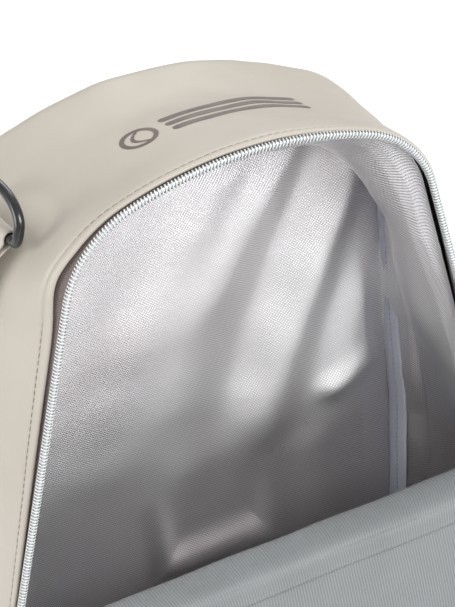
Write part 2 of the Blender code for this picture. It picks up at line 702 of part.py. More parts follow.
def adjuster(side, suffix, end, down):
    """A ladder-lock adjuster between the padded strap and the lower webbing."""
    centre = end + down * 0.0138
    across = Vector((-down.z, 0.0, down.x)).normalized() * -1.0
    normal = across.cross(down).normalized()
    turn = Matrix((across, normal, down)).transposed().to_4x4()
    place = Matrix.Translation(centre) @ turn @ UPRIGHT
    mirror = Matrix.Diagonal((side, 1.0, 1.0, 1.0))
    windows = []
    for v in (-0.0072, 0.0072):
        windows.append([(u * 0.0130, v + w * 0.0022) for u, w in ((1, 1), (-1, 1), (-1, -1), (1, -1))])
    plate("strap_adjuster_" + suffix, rounded_rect(0.034, 0.024, 0.004, 3), 0.0034, PLASTIC, mirror @ place,
          origin=(side * centre.x, centre.y, centre.z), holes=windows)


def yoke():
    """The reinforced patch that the straps and the carry handle are sewn to."""
    back = PANEL_BACK_Y
    place = Matrix.Translation((0.0, back + GAP + 0.0016, STRAP_TOP_Z + 0.004)) @ UPRIGHT
    plate("strap_yoke", rounded_rect(0.150, 0.034, 0.010), 0.0032, TAUPE, place)
    foot_z = STRAP_TOP_Z + 0.006
    route = [(HANDLE_HALF, back + 0.0068, foot_z - 0.0045)]
    for k in range(HANDLE_STEPS + 1):
        angle = math.pi * k / HANDLE_STEPS
        stand_off = HANDLE_STAND_OFF - 0.0020 * (1.0 - math.sin(angle))
        rise = HANDLE_RISE * max(math.sin(angle), 0.0) ** 0.8
        route.append((HANDLE_HALF * math.cos(angle), back + stand_off, foot_z + rise))
    route.append((-HANDLE_HALF, back + 0.0068, foot_z - 0.0045))
    handle(route)


def handle(route):
    """The carry handle: a padded webbing arch with two sewn ends."""
    bm = bmesh.new()
    rows = []
    for k, place in enumerate(route):
        before = Vector(route[max(k - 1, 0)])
        after = Vector(route[min(k + 1, len(route) - 1)])
        along = (after - before).normalized()
        normal = Vector((-along.z, 0.0, along.x))
        across = Vector((0.0, 1.0, 0.0))
        wide = 0.0030 + 0.0030 * math.sin(math.pi * k / (len(route) - 1))
        deep = 0.0035
        row = []
        for u, v in ((1, 0.4), (0.4, 1), (-0.4, 1), (-1, 0.4), (-1, -0.4), (-0.4, -1), (0.4, -1), (1, -0.4)):
            row.append(bm.verts.new(Vector(place) + across * u * wide + normal * v * deep))
        rows.append(row)
    for row, after in zip(rows, rows[1:]):
        for k in range(8):
            bm.faces.new((row[k], row[(k + 1) % 8], after[(k + 1) % 8], after[k]))
    bm.faces.new(rows[0])
    bm.faces.new(rows[-1])
    link_bmesh("carry_handle", bm, WEBBING)


# ---------------------------------------------------------------- rear sliders
REAR_PARK_ANGLE = {"left": 0.276, "right": 0.352}       # both parked right of the handle, zip closed


def make_rear_sliders():
    """Two sliders meet at the top of the rear zip; each runs round the centre of the top arc."""
    coil_y = BACK_Y - REAR_COIL_R - 0.0012
    ahead, behind = STATIONS[-3], BACK_Y
    share = (coil_y - ahead) / (behind - ahead)
    height = outline_at(ahead)[1] * (1.0 - share) + outline_at(behind)[1] * share
    inset = rear_inset(ahead) * (1.0 - share) + rear_inset(behind) * share
    top_r = BODY_OUTLINE[3]
    centre_z = height - top_r
    radius = top_r - inset + 0.0024
    front_y = BACK_Y - 0.0045
    rear_y = PANEL_BACK_Y + 0.0030
    for side, suffix in ((-1, "left"), (1, "right")):
        angle = REAR_PARK_ANGLE[suffix]
        middle_y = (front_y + rear_y) / 2
        centre = Vector((radius * math.sin(angle), middle_y, centre_z + radius * math.cos(angle)))
        lean = Matrix.Rotation(angle, 4, "Y")
        block("rear_slider_" + suffix, (SLIDER_LENGTH, rear_y - front_y, 0.0030), centre, BLACK_METAL, 0.0008,
              lean, origin=(0.0, middle_y, centre_z))
        pivot = (centre.x, rear_y + PULL_EYE + 0.0005, centre.z - 0.0012)
        make_pull("rear_pull_" + suffix, pivot, 0.020, BLACK_METAL)


make_shell()
make_lining()
make_front_zip()
make_door()
make_front_sliders()
make_d_ring()
make_rear_zip()
make_back_panel()
make_straps()
make_rear_sliders()
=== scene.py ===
"""The looks of the racket backpack: soft shell, metallised lining, zips, straps and their materials.

Units are metres, +Z is up and the bag's front faces -Y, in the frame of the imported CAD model.
"""
import json
import math

import bpy
import numpy as np
from mathutils import Matrix, Vector, noise


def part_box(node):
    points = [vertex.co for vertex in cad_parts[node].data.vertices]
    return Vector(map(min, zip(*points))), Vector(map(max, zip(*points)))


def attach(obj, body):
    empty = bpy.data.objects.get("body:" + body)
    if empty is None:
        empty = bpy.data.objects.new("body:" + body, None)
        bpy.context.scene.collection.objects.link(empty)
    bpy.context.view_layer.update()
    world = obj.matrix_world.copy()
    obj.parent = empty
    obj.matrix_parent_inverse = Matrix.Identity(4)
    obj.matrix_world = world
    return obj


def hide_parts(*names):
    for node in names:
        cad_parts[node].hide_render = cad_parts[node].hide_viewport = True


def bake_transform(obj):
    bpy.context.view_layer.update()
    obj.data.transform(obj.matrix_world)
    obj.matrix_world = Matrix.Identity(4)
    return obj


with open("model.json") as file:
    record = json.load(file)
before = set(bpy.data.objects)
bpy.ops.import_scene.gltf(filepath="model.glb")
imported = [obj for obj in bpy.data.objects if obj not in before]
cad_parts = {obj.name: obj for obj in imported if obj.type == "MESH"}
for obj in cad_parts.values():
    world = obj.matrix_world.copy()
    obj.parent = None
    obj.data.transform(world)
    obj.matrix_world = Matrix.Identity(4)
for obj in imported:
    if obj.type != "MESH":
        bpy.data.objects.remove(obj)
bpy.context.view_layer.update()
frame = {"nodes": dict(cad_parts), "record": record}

# ---------------------------------------------------------------- the CAD's driving dimensions
RIM_Y = -0.088
BODY_Y = 0.034
BACK_Y = 0.068
LIP_Z = 0.240
DIVIDER_Y = -0.008
BASE_CORNER = 0.048
LOWER_RADIUS = 0.280
FRONT_OUTLINE = (0.146, 0.480, 14.3, 0.185, 0.057)
BODY_OUTLINE = (0.135, 0.463, 1.0, 0.200, 0.072)
BACK_INSET = 0.013
REAR_DROP = 0.026
LEATHER = 0.0022
COIL_R = 0.0021
DOOR_AXIS = Vector((0.0, RIM_Y - 0.0085, LIP_Z))
DOOR_REST = math.radians(160.0)
DOOR_COIL_INSET = LEATHER + 2 * COIL_R + 0.0008
DOOR_ZIP_START = 0.030
PANEL_FRONT_Y = BACK_Y + 0.0030
PANEL_BACK_Y = BACK_Y + 0.0100
BACK_LOW_Z = 0.050

CORNER_STEPS, LOWER_STEPS, SIDE_STEPS, SHOULDER_STEPS, TOP_STEPS = 8, 6, 30, 20, 24
CORNER_INDEX = 1 + CORNER_STEPS
LIP_INDEX = CORNER_INDEX + 1 + LOWER_STEPS


# ---------------------------------------------------------------- the outline
def arc(centre, radius, start, end, steps):
    """Points on an arc, both ends included."""
    angles = start + (end - start) * np.arange(steps + 1) / steps
    return np.stack([centre[0] + radius * np.cos(angles), centre[1] + radius * np.sin(angles)], axis=1)


def rear_inset(y):
    """The rear edge draws in along a quarter of an ellipse."""
    if y <= BODY_Y:
        return 0.0
    t = min((y - BODY_Y) / (BACK_Y - BODY_Y), 1.0)
    return BACK_INSET * (1.0 - math.sqrt(1.0 - 0.9 * t * t))


def half_outline(y, inset):
    """Right half of the bag's outline at station y, from the middle of the base to the top."""
    t = min(max((y - RIM_Y) / (BODY_Y - RIM_Y), 0.0), 1.0)
    swell = math.sin(math.pi / 2 * t)
    half_width, height, flare, top_r, shoulder_r = [a + (b - a) * swell for a,
                                                    b in zip(FRONT_OUTLINE, BODY_OUTLINE)]
    flare = math.radians(flare)
    height -= REAR_DROP * min(max((y - BODY_Y) / (BACK_Y - BODY_Y), 0.0), 1.0) ** 1.3
    inset = inset + rear_inset(y)
    widest = half_width + LOWER_RADIUS * (1 - math.cos(flare))
    normal = np.array((math.cos(flare), math.sin(flare)))
    along = np.array((-normal[1], normal[0]))
    start = normal * (normal @ np.array((half_width, LIP_Z)) - shoulder_r)
    top = np.array((0.0, height - top_r))
    b = (start - top) @ along
    c = (start - top) @ (start - top) - (top_r - shoulder_r) ** 2
    shoulder = start + along * (math.sqrt(b * b - c) - b)
    meet = math.atan2(shoulder[1] - top[1], shoulder[0] - top[0])
    lower = np.array((half_width, LIP_Z)) - LOWER_RADIUS * normal
    corner_arc = arc((widest - BASE_CORNER, BASE_CORNER), BASE_CORNER - inset, -math.pi / 2, 0.0,
                     CORNER_STEPS)
    lower_arc = arc(lower, LOWER_RADIUS - inset, 0.0, flare, LOWER_STEPS)
    shoulder_arc = arc(shoulder, shoulder_r - inset, flare, meet, SHOULDER_STEPS)
    mix = np.arange(1, SIDE_STEPS)[:, None] / SIDE_STEPS
    side = lower_arc[-1] * (1 - mix) + shoulder_arc[0] * mix
    top_arc = arc(top, top_r - inset, meet, math.pi / 2, TOP_STEPS)[1:]
    return np.concatenate([[(0.0, inset)], corner_arc, lower_arc, side, shoulder_arc, top_arc])


def at_station(flat, y):
    """Stand (x, z) points up at station y."""
    return np.stack([flat[:, 0], np.full(len(flat), y), flat[:, 1]], axis=1)


def arch(y, inset, first):
    """From outline point first of the left half, over the top, to the same point on the right."""
    half = half_outline(y, inset)[first:]
    return at_station(np.concatenate([half * (-1, 1), half[-2::-1]]), y)


def trough(y, inset, last):
    """From outline point last of the left half, under the base, to the same point on the right."""
    half = half_outline(y, inset)[:last + 1]
    return at_station(np.concatenate([(half * (-1, 1))[::-1], half[1:]]), y)


def ring(y, inset):
    """The whole outline as a loop, its first point not repeated."""
    half = half_outline(y, inset)
    return at_station(np.concatenate([half * (-1, 1), half[-2:0:-1]]), y)


# ---------------------------------------------------------------- mesh helpers
def add_object(name, verts, faces, mat, uvs=None):
    """An object from vertices and faces, with an optional UV for each vertex."""
    mesh = bpy.data.meshes.new(name)
    mesh.from_pydata([tuple(v) for v in verts], [], [tuple(f) for f in faces])
    if uvs is not None:
        layer = mesh.uv_layers.new(name="UVMap")
        index = np.empty(len(mesh.loops), dtype=np.int32)
        mesh.loops.foreach_get("vertex_index", index)
        layer.data.foreach_set("uv", np.asarray(uvs, dtype=np.float32)[index].ravel())
    mesh.shade_smooth()
    mesh.materials.append(mat)
    obj = bpy.data.objects.new(name, mesh)
    bpy.context.scene.collection.objects.link(obj)
    return obj


def grid(name, rows, mat, closed=False, thickness=0.0, offset=-1.0, matrix=None, flip=False):
    """A quad sheet through rows of points; its UVs are lengths in metres along and across."""
    rows = np.asarray(rows, dtype=float)
    m, n = rows.shape[:2]
    middle = rows[m // 2]
    u = np.concatenate([[0.0], np.cumsum(np.linalg.norm(np.diff(middle, axis=0), axis=1))])
    v = np.concatenate([[0.0], np.cumsum(np.linalg.norm(np.diff(rows[:, n // 3], axis=0), axis=1))])
    uvs = np.stack(np.meshgrid(u, v), axis=2).reshape(-1, 2)
    faces = []
    spans = n if closed else n - 1
    for i in range(m - 1):
        for k in range(spans):
            a, b = i * n + k, i * n + (k + 1) % n
            quad = (a, b, b + n, a + n)
            faces.append(quad[::-1] if flip else quad)
    verts = rows.reshape(-1, 3)
    if matrix is not None:
        verts = transform(verts, matrix)
    obj = add_object(name, verts, faces, mat, uvs)
    if thickness > 0.0:
        solid = obj.modifiers.new("thickness", "SOLIDIFY")
        solid.thickness = thickness
        solid.offset = offset
        solid.use_even_offset = False
    return obj


def transform(points, matrix):
    """Points moved by a 4x4 matrix."""
    m = np.array(matrix)
    return np.asarray(points) @ m[:3, :3].T + m[:3, 3]


def frames_along(path, up):
    """Unit tangents, and the two normals across them, for each point of a path."""
    tangent = np.gradient(path, axis=0)
    tangent /= np.linalg.norm(tangent, axis=1)[:, None]
    up = np.broadcast_to(np.asarray(up, dtype=float), path.shape)
    side = np.cross(tangent, up)
    side /= np.linalg.norm(side, axis=1)[:, None]
    return tangent, side, np.cross(side, tangent)


def resample(path, spacing):
    """The path's points at even spacing."""
    path = np.asarray(path, dtype=float)
    length = np.concatenate([[0.0], np.cumsum(np.linalg.norm(np.diff(path, axis=0), axis=1))])
    count = max(int(round(length[-1] / spacing)), 2)
    targets = np.linspace(0.0, length[-1], count + 1)
    return np.stack([np.interp(targets, length, path[:, k]) for k in range(3)], axis=1)


def swept(name, path, section, mat, up=(0.0, 1.0, 0.0), closed=False, scale=None):
    """A tube: the closed 2D section, in metres, carried along the path."""
    path = np.asarray(path, dtype=float)
    if closed:
        wide = np.concatenate([path[-1:], path, path[:1]])
        side, lift = [v[1:-1] for v in frames_along(wide, up)[1:]]
    else:
        side, lift = frames_along(path, up)[1:]
    section = np.asarray(section, dtype=float)
    size = np.ones(len(path)) if scale is None else np.asarray(scale)
    rows = (path[:, None] + size[:, None, None] * (section[None, :, 0, None] * side[:, None]
            + section[None, :, 1, None] * lift[:, None]))
    n = len(section)
    m = len(path)
    faces = []
    for i in range(m if closed else m - 1):
        for k in range(n):
            a, b = i * n + k, i * n + (k + 1) % n
            c, d = ((i + 1) % m) * n + (k + 1) % n, ((i + 1) % m) * n + k
            faces.append((a, b, c, d))
    if not closed:
        faces.append(tuple(range(n))[::-1])
        faces.append(tuple(range((m - 1) * n, m * n)))
    length = np.concatenate([[0.0], np.cumsum(np.linalg.norm(np.diff(path, axis=0), axis=1))])
    around = np.arange(n) * 0.001
    uvs = np.stack(np.meshgrid(around, length), axis=2).reshape(-1, 2)
    return add_object(name, rows.reshape(-1, 3), faces, mat, uvs)


def circle(radius, steps=8, squash=1.0):
    """A round or flattened section."""
    angles = 2 * math.pi * np.arange(steps) / steps
    return np.stack([radius * np.cos(angles), radius * squash * np.sin(angles)], axis=1)


def rounded_section(width, height, radius, steps=3):
    """A rounded rectangle as a section, counter-clockwise."""
    points = []
    for sx, sy, start in ((1, 1, 0), (-1, 1, 90), (-1, -1, 180), (1, -1, 270)):
        for k in range(steps + 1):
            angle = math.radians(start + 90 * k / steps)
            points.append((sx * (width / 2 - radius) + radius * math.cos(angle),
                           sy * (height / 2 - radius) + radius * math.sin(angle)))
    return np.array(points)


def helix(name, path, up, radius, squash, pitch, wire, mat):
    """A zip's coil: a strand wound round the path, with its sewn cord inside."""
    steps = 9
    centre = resample(path, pitch / steps)
    side, lift = frames_along(centre, up)[1:]
    angle = 2 * math.pi * np.arange(len(centre)) / steps
    strand = centre + radius * np.cos(angle)[:, None] * side + radius * squash * np.sin(angle)[:,
                                                                                               None] * lift
    radial = np.cos(angle)[:, None] * side + np.sin(angle)[:, None] * lift
    coil = swept(name, strand, circle(wire, 5), mat, up=radial)
    cord = swept(name + "_cord", resample(path, 0.004), circle(radius * 0.62, 8, squash), mat, up=up)
    cord.parent = coil
    return coil


def stitches(name, path, up, mat, length=0.0030, pitch=0.0040, radius=0.00034):
    """A row of thread stitches on a path: a slim spindle for each."""
    centre = resample(path, pitch)
    tangent, side, lift = frames_along(centre, up)
    verts, faces = [], []
    for p, t, s, u in zip(centre, tangent, side, lift):
        base = len(verts)
        verts += [p - t * length / 2, p - t * length / 4 + s * radius, p - t * length / 4 + u * radius,
                  p - t * length / 4 - s * radius, p + t * length / 4 + s * radius,
                  p + t * length / 4 + u * radius, p + t * length / 4 - s * radius, p + t * length / 2]
        for f in ((0, 2, 1), (0, 3, 2), (1, 2, 5, 4), (2, 3, 6, 5), (4, 5, 7), (5, 6, 7), (0, 1, 3),
                  (1, 4, 6, 3),
                  (4, 7, 6)):
            faces.append(tuple(base + i for i in f))
    return add_object(name, verts, faces, mat)


def keep(obj, body, slot, *nodes, fill=None):
    """A finished piece: its body and the nodes it stands for; slot, its material slot, and fill, its
    stuffing, are not used.
    """
    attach(obj, body)
    if nodes:
        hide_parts(*nodes)
    return obj


# ---------------------------------------------------------------- materials
class Shader:
    """A Principled material under construction, with short names for its nodes."""

    def __init__(self, name, roughness, metallic=0.0, coords="Object"):
        self.mat = bpy.data.materials.new(name)
        self.mat.use_nodes = True
        self.nodes = self.mat.node_tree.nodes
        self.links = self.mat.node_tree.links
        self.bsdf = self.nodes["Principled BSDF"]
        self.bsdf.inputs["Roughness"].default_value = roughness
        self.bsdf.inputs["Metallic"].default_value = metallic
        self.coord = self.nodes.new("ShaderNodeTexCoord").outputs[coords]
        self.bump = None

    def mapping(self, rotation):
        node = self.nodes.new("ShaderNodeMapping")
        node.inputs["Rotation"].default_value = rotation
        self.links.new(self.coord, node.inputs["Vector"])
        return node.outputs["Vector"]

    def noise(self, scale, detail=3.0, vector=None):
        node = self.nodes.new("ShaderNodeTexNoise")
        node.inputs["Scale"].default_value = scale
        node.inputs["Detail"].default_value = detail
        self.links.new(vector or self.coord, node.inputs["Vector"])
        return node.outputs["Fac"]

    def voronoi(self, scale):
        node = self.nodes.new("ShaderNodeTexVoronoi")
        node.inputs["Scale"].default_value = scale
        self.links.new(self.coord, node.inputs["Vector"])
        return node.outputs["Distance"]

    def wave(self, pitch, direction="X", vector=None, profile="SIN"):
        """Parallel ribs a pitch apart, in metres."""
        node = self.nodes.new("ShaderNodeTexWave")
        node.bands_direction = direction
        node.wave_profile = profile
        node.inputs["Scale"].default_value = 2 * math.pi / (20.0 * pitch)
        self.links.new(vector or self.coord, node.inputs["Vector"])
        return node.outputs["Fac"]

    def maths(self, operation, a, b):
        node = self.nodes.new("ShaderNodeMath")
        node.operation = operation
        for socket, value in zip(node.inputs, (a, b)):
            if isinstance(value, (int, float)):
                socket.default_value = value
            else:
                self.links.new(value, socket)
        return node.outputs[0]

    def ramp(self, value, low, high, colour_low, colour_high):
        node = self.nodes.new("ShaderNodeValToRGB")
        node.color_ramp.elements[0].position = low
        node.color_ramp.elements[1].position = high
        node.color_ramp.elements[0].color = (*colour_low, 1.0)
        node.color_ramp.elements[1].color = (*colour_high, 1.0)
        self.links.new(value, node.inputs["Fac"])
        return node.outputs["Color"]

    def mix(self, factor, a, b):
        node = self.nodes.new("ShaderNodeMix")
        node.data_type = "RGBA"
        for socket, value in ((node.inputs[0], factor), (node.inputs[6], a), (node.inputs[7], b)):
            if isinstance(value, tuple):
                socket.default_value = (*value, 1.0)
            elif isinstance(value, (int, float)):
                socket.default_value = value
            else:
                self.links.new(value, socket)
        return node.outputs[2]

    def colour(self, value):
        if isinstance(value, tuple):
            self.bsdf.inputs["Base Color"].default_value = (*value, 1.0)
        else:
            self.links.new(value, self.bsdf.inputs["Base Color"])

    def rough(self, value, low, high):
        node = self.nodes.new("ShaderNodeMapRange")
        node.inputs["To Min"].default_value = low
        node.inputs["To Max"].default_value = high
        self.links.new(value, node.inputs["Value"])
        self.links.new(node.outputs[0], self.bsdf.inputs["Roughness"])

    def relief(self, height, strength, distance):
        """Bump from a height value; calls stack, coarse first."""
        node = self.nodes.new("ShaderNodeBump")
        node.inputs["Strength"].default_value = strength
        node.inputs["Distance"].default_value = distance
        self.links.new(height, node.inputs["Height"])
        if self.bump is not None:
            self.links.new(self.bump, node.inputs["Normal"])
        self.bump = node.outputs["Normal"]
        self.links.new(self.bump, self.bsdf.inputs["Normal"])

    def set(self, **values):
        for name, value in values.items():
            self.bsdf.inputs[name.replace("_", " ")].default_value = value


def leather_material(name, base, shade):
    """Smooth matte coated fabric: a fine pebble grain, faint mottling, paler worn edges."""
    s = Shader(name, 0.5)
    mottle = s.noise(14.0, 4.0)
    colour = s.ramp(mottle, 0.3, 0.75, shade, base)
    pointy = s.nodes.new("ShaderNodeNewGeometry").outputs["Pointiness"]
    worn = s.ramp(pointy, 0.52, 0.62, (0, 0, 0), (0.35, 0.35, 0.35))
    pale = tuple(min(c * 1.16, 1.0) for c in base)
    s.colour(s.mix(worn, colour, pale))
    s.rough(s.noise(60.0, 3.0), 0.42, 0.58)
    s.relief(s.noise(26.0, 3.0), 0.25, 0.0012)
    s.relief(s.voronoi(1400.0), 0.16, 0.00022)
    return s.mat


def foil_material():
    """Metallised lining: a diagonal woven emboss on soft crumples, with warm patches of painted reflection of
    the tan leather.
    """
    s = Shader("silver_foil", 0.30, 0.86, coords="UV")
    obj = s.nodes.new("ShaderNodeTexCoord").outputs["Object"]
    one = s.wave(0.00115, "X", s.mapping(rotation=(0, 0, math.radians(38))), "SIN")
    two = s.wave(0.00115, "X", s.mapping(rotation=(0, 0, math.radians(-50))), "SIN")
    twill = s.maths("MULTIPLY", one, two)
    thread = s.ramp(twill, 0.05, 0.65, (0.60, 0.60, 0.62), (1.0, 1.0, 1.0))
    # warm patches laid on by noise: painted reflection of the tan leather in the foil
    tint = s.ramp(s.noise(8.0, 3.0, obj), 0.38, 0.72, (0.88, 0.84, 0.84), (1.0, 1.0, 1.0))
    node = s.nodes.new("ShaderNodeMix")
    node.data_type = "RGBA"
    node.blend_type = "MULTIPLY"
    node.inputs[0].default_value = 1.0
    s.links.new(thread, node.inputs[6])
    s.links.new(tint, node.inputs[7])
    s.colour(node.outputs[2])
    s.rough(s.noise(30.0, 2.0, obj), 0.24, 0.36)
    s.relief(s.noise(38.0, 4.0, obj), 0.26, 0.002)
    s.relief(twill, 0.7, 0.0003)
    return s.mat


def woven_material(name, dark, light, pitch_u, pitch_v, coords="UV", depth=0.0002):
    """A plain weave: ribs along and across, with uneven yarn."""
    s = Shader(name, 0.75, coords=coords)
    warp = s.wave(pitch_u, "X")
    weft = s.wave(pitch_v, "Y")
    cloth = s.maths("MULTIPLY", warp, weft)
    obj = s.nodes.new("ShaderNodeTexCoord").outputs["Object"]
    tone = s.maths("ADD", s.maths("MULTIPLY", cloth, 0.6), s.maths("MULTIPLY", s.noise(45.0, 3.0, obj), 0.5))
    s.colour(s.ramp(tone, 0.15, 0.85, dark, light))
    s.relief(cloth, 0.8, depth)
    s.set(Sheen_Weight=0.2)
    return s.mat


def ribbed_material(name, dark, light, pitch, direction="X", roughness=0.5):
    """A ribbed cloth: one set of raised ribs."""
    s = Shader(name, roughness, coords="UV")
    ribs = s.wave(pitch, direction)
    obj = s.nodes.new("ShaderNodeTexCoord").outputs["Object"]
    tone = s.maths("ADD", s.maths("MULTIPLY", ribs, 0.55),
                   s.maths("MULTIPLY", s.noise(30.0, 3.0, obj), 0.45))
    s.colour(s.ramp(tone, 0.1, 0.9, dark, light))
    s.relief(ribs, 0.7, 0.0003)
    s.relief(s.noise(900.0, 2.0, obj), 0.15, 0.0001)
    return s.mat


def mesh_material():
    """Knitted spacer mesh: rows of small holes over a darker ground."""
    s = Shader("spacer_mesh", 0.85)
    cells = s.voronoi(620.0)
    s.colour(s.ramp(cells, 0.12, 0.5, (0.14, 0.128, 0.115), (0.30, 0.275, 0.25)))
    s.relief(cells, 0.9, 0.0006)
    s.set(Sheen_Weight=0.3)
    return s.mat


def hard_material(name, base, roughness, metallic=0.0, grain=300.0, coat=0.0):
    """Plated metal or moulded plastic: fine orange peel and slight handling marks."""
    s = Shader(name, roughness, metallic)
    marks = s.noise(90.0, 4.0)
    lift = tuple(min(c * 1.25 + 0.01, 1.0) for c in base)
    s.colour(s.ramp(marks, 0.45, 0.75, base, lift))
    s.rough(s.noise(160.0, 3.0), max(roughness - 0.08, 0.05), roughness + 0.1)
    s.relief(s.noise(grain, 2.0), 0.08, 0.0003)
    s.set(Coat_Weight=coat)
    return s.mat


def coil_material(name, base, metallic):
    """Nylon coil with a metallic tint."""
    s = Shader(name, 0.3, metallic)
    s.colour(s.ramp(s.noise(700.0, 2.0), 0.3, 0.7, tuple(c * 0.85 for c in base), base))
    s.rough(s.noise(500.0, 2.0), 0.24, 0.4)
    s.set(Coat_Weight=0.3)
    return s.mat


def print_material():
    """Screen-printed ink: slightly uneven, a little glossier than the cloth."""
    s = Shader("printed_ink", 0.4)
    s.colour(s.ramp(s.noise(120.0, 3.0), 0.3, 0.7, (0.095, 0.070, 0.062), (0.135, 0.105, 0.092)))
    s.relief(s.noise(900.0, 2.0), 0.2, 0.0001)
    return s.mat


LEATHER_MAT = leather_material("taupe_leather", (0.420, 0.385, 0.335), (0.385, 0.350, 0.300))
FOIL_MAT = foil_material()
TAPE_MAT = woven_material("zip_tape", (0.110, 0.080, 0.072), (0.285, 0.220, 0.200), 0.0011, 0.0007)
BINDING_MAT = ribbed_material("grosgrain", (0.36, 0.37, 0.44), (0.56, 0.57, 0.65), 0.0010, "X",
                              roughness=0.6)
NYLON_MAT = ribbed_material("ribbed_nylon", (0.140, 0.150, 0.154), (0.235, 0.248, 0.253), 0.0016, "X",
                            roughness=0.42)
MESH_MAT = mesh_material()
WEBBING_MAT = woven_material("webbing", (0.14, 0.12, 0.10), (0.42, 0.37, 0.32), 0.0016, 0.0022, depth=0.0005)
COIL_MAT = coil_material("zip_coil_silver", (0.66, 0.68, 0.68), 0.35)
DARK_COIL_MAT = coil_material("zip_coil_dark", (0.16, 0.13, 0.12), 0.1)
SILVER_MAT = hard_material("slider_silver", (0.55, 0.55, 0.56), 0.3, 1.0)
BLACK_MAT = hard_material("black_plating", (0.012, 0.012, 0.013), 0.28, 0.3, coat=0.4)
PLASTIC_MAT = hard_material("acetal", (0.06, 0.05, 0.045), 0.4)
BOARD_MAT = hard_material("board", (0.03, 0.03, 0.03), 0.6)
FOAM_MAT = hard_material("foam", (0.78, 0.78, 0.76), 0.9, grain=2000.0)
THREAD_MAT = woven_material("thread", (0.30, 0.26, 0.23), (0.44, 0.39, 0.34), 0.0006, 0.0006,
                            coords="Object")
PRINT_MAT = print_material()
FABRIC_MAT = woven_material("body_cloth", (0.40, 0.36, 0.31), (0.58, 0.53, 0.46), 0.0011, 0.0011,
                            depth=0.0002)


# ---------------------------------------------------------------- soft relief of the shell
def bumps(points, dents):
    """Depth of the shell's soft dents at each point: dents are (centre, radii, depth)."""
    total = np.zeros(len(points))
    for centre, radii, depth in dents:
        d = (points - np.array(centre)) / np.array(radii)
        total += depth * np.exp(-(d ** 2).sum(axis=1))
    return total


def ripple(points, scale, seed):
    """Smooth, repeatable noise at each point, from -1 to 1."""
    shift = Vector((seed * 7.31, seed * 3.17, seed * 5.73))
    return np.array([noise.noise(Vector(p) * scale + shift) for p in points])


AXIS_Z = 0.24              # height of the bag's long axis, toward which cloth is pushed


def pushed(points, amount):
    """Points moved toward the bag's long axis by amount, in the X-Z plane."""
    radial = np.array(points)
    radial[:, 2] -= AXIS_Z
    radial[:, 1] = 0.0
    radial /= np.maximum(np.linalg.norm(radial, axis=1), 1e-9)[:, None]
    return points - radial * np.asarray(amount)[:, None]


SHELL_DENTS = (
    ((0.085, -0.010, 0.455), (0.050, 0.055, 0.060), 0.0060),     # flattened right shoulder
    ((-0.085, -0.045, 0.450), (0.040, 0.022, 0.040), 0.0045),    # hollow above the left D-ring
    ((-0.020, 0.000, 0.470), (0.060, 0.020, 0.050), 0.0022),     # slack across the top
    ((0.140, 0.000, 0.300), (0.060, 0.030, 0.070), 0.0040),
    ((-0.140, 0.010, 0.240), (0.050, 0.045, 0.080), 0.0060),     # pinched left side
    ((-0.140, -0.020, 0.120), (0.050, 0.040, 0.070), 0.0030),
    ((0.145, 0.010, 0.130), (0.050, 0.040, 0.060), 0.0035),
)


def shell_rows(line, profile):
    """Rows of the shell: profile is a list of (y, inset), line gives the outline for each."""
    rows = []
    for y, inset in profile:
        row = line(y, inset)
        depth = bumps(row, SHELL_DENTS) + 0.0009 * ripple(row, 22.0, 1) + 0.0006 * ripple(row, 55.0, 2)
        fade = min(1.0, abs(y - RIM_Y) / 0.030) * min(1.0, max(BACK_Y - y, 0.0) / 0.020 + 0.1)
        row = pushed(row, depth * fade)
        row[:, 2] = np.maximum(row[:, 2], 0.0)
        rows.append(row)
    return rows


EDGE_Y = RIM_Y + 0.0048
SEAM_Y = RIM_Y + 0.0100


def outer_profile():
    """Section of the coated cloth: turned front edge, stitch groove, swelling side, turned rear edge."""
    front = [(RIM_Y + 0.016, 0.0026), (EDGE_Y + 0.0018, 0.0023), (EDGE_Y + 0.0004, 0.0018), (EDGE_Y, 0.0010),
             (EDGE_Y + 0.0005, 0.0002), (EDGE_Y + 0.0016, -0.0002), (SEAM_Y - 0.0016, -0.0002),
             (SEAM_Y - 0.0006, 0.0002), (SEAM_Y, 0.0006), (SEAM_Y + 0.0006, 0.0002), (SEAM_Y + 0.0018, 0.0)]
    start, stop = SEAM_Y + 0.0040, BACK_Y - 0.0090
    middle = [(start + (stop - start) * k / 34, 0.0) for k in range(35)]
    rear = [(BACK_Y - 0.0080, 0.0003), (BACK_Y - 0.0076, 0.0011), (BACK_Y - 0.0080, 0.0020),
            (BACK_Y - 0.020, 0.0026)]
    return front + middle + rear


def make_shell():
    """Gusset and base in coated cloth, with the stitching along the front edge."""
    profile = outer_profile()
    rows = shell_rows(lambda y, i: arch(y, i, CORNER_INDEX - 1), profile)
    for row, (y, _) in zip(rows, profile):
        near = math.exp(-(max(y - SEAM_Y, 0.0) / 0.006) ** 2)
        lens = np.exp(-((row[:, 0] + 0.090) / 0.014) ** 2 - ((row[:, 2] - 0.432) / 0.014) ** 2)
        row[:] = pushed(row, -0.0024 * near * lens)
        row[:, 1] += 0.0030 * near * lens
    gusset = grid("shell_gusset", rows, LEATHER_MAT)
    keep(gusset, "shell", "taupe_leather", "gusset")
    base = grid("shell_base", shell_rows(lambda y, i: trough(y, i, CORNER_INDEX), profile), LEATHER_MAT)
    keep(base, "shell", "taupe_leather", "base_panel")
    row = shell_rows(lambda y, i: arch(y, i, CORNER_INDEX), [(SEAM_Y, 0.0004)])[0]
    keep(stitches("gusset_stitching", row, (0.0, 1.0, 0.0), THREAD_MAT), "shell", "taupe_leather")
    for sign, suffix in ((-1, "left"), (1, "right")):
        seam = [half_outline(y, -0.0002)[CORNER_INDEX + 1] * (sign, 1) for y in np.linspace(RIM_Y + 0.008,
                                                                                            0.056, 40)]
        seam = np.array([(x, y, z) for (x, z), y in zip(seam, np.linspace(RIM_Y + 0.008, 0.056, 40))])
        keep(stitches("base_seam_" + suffix, seam, (sign, 0.0, 0.0), THREAD_MAT), "shell", "taupe_leather")


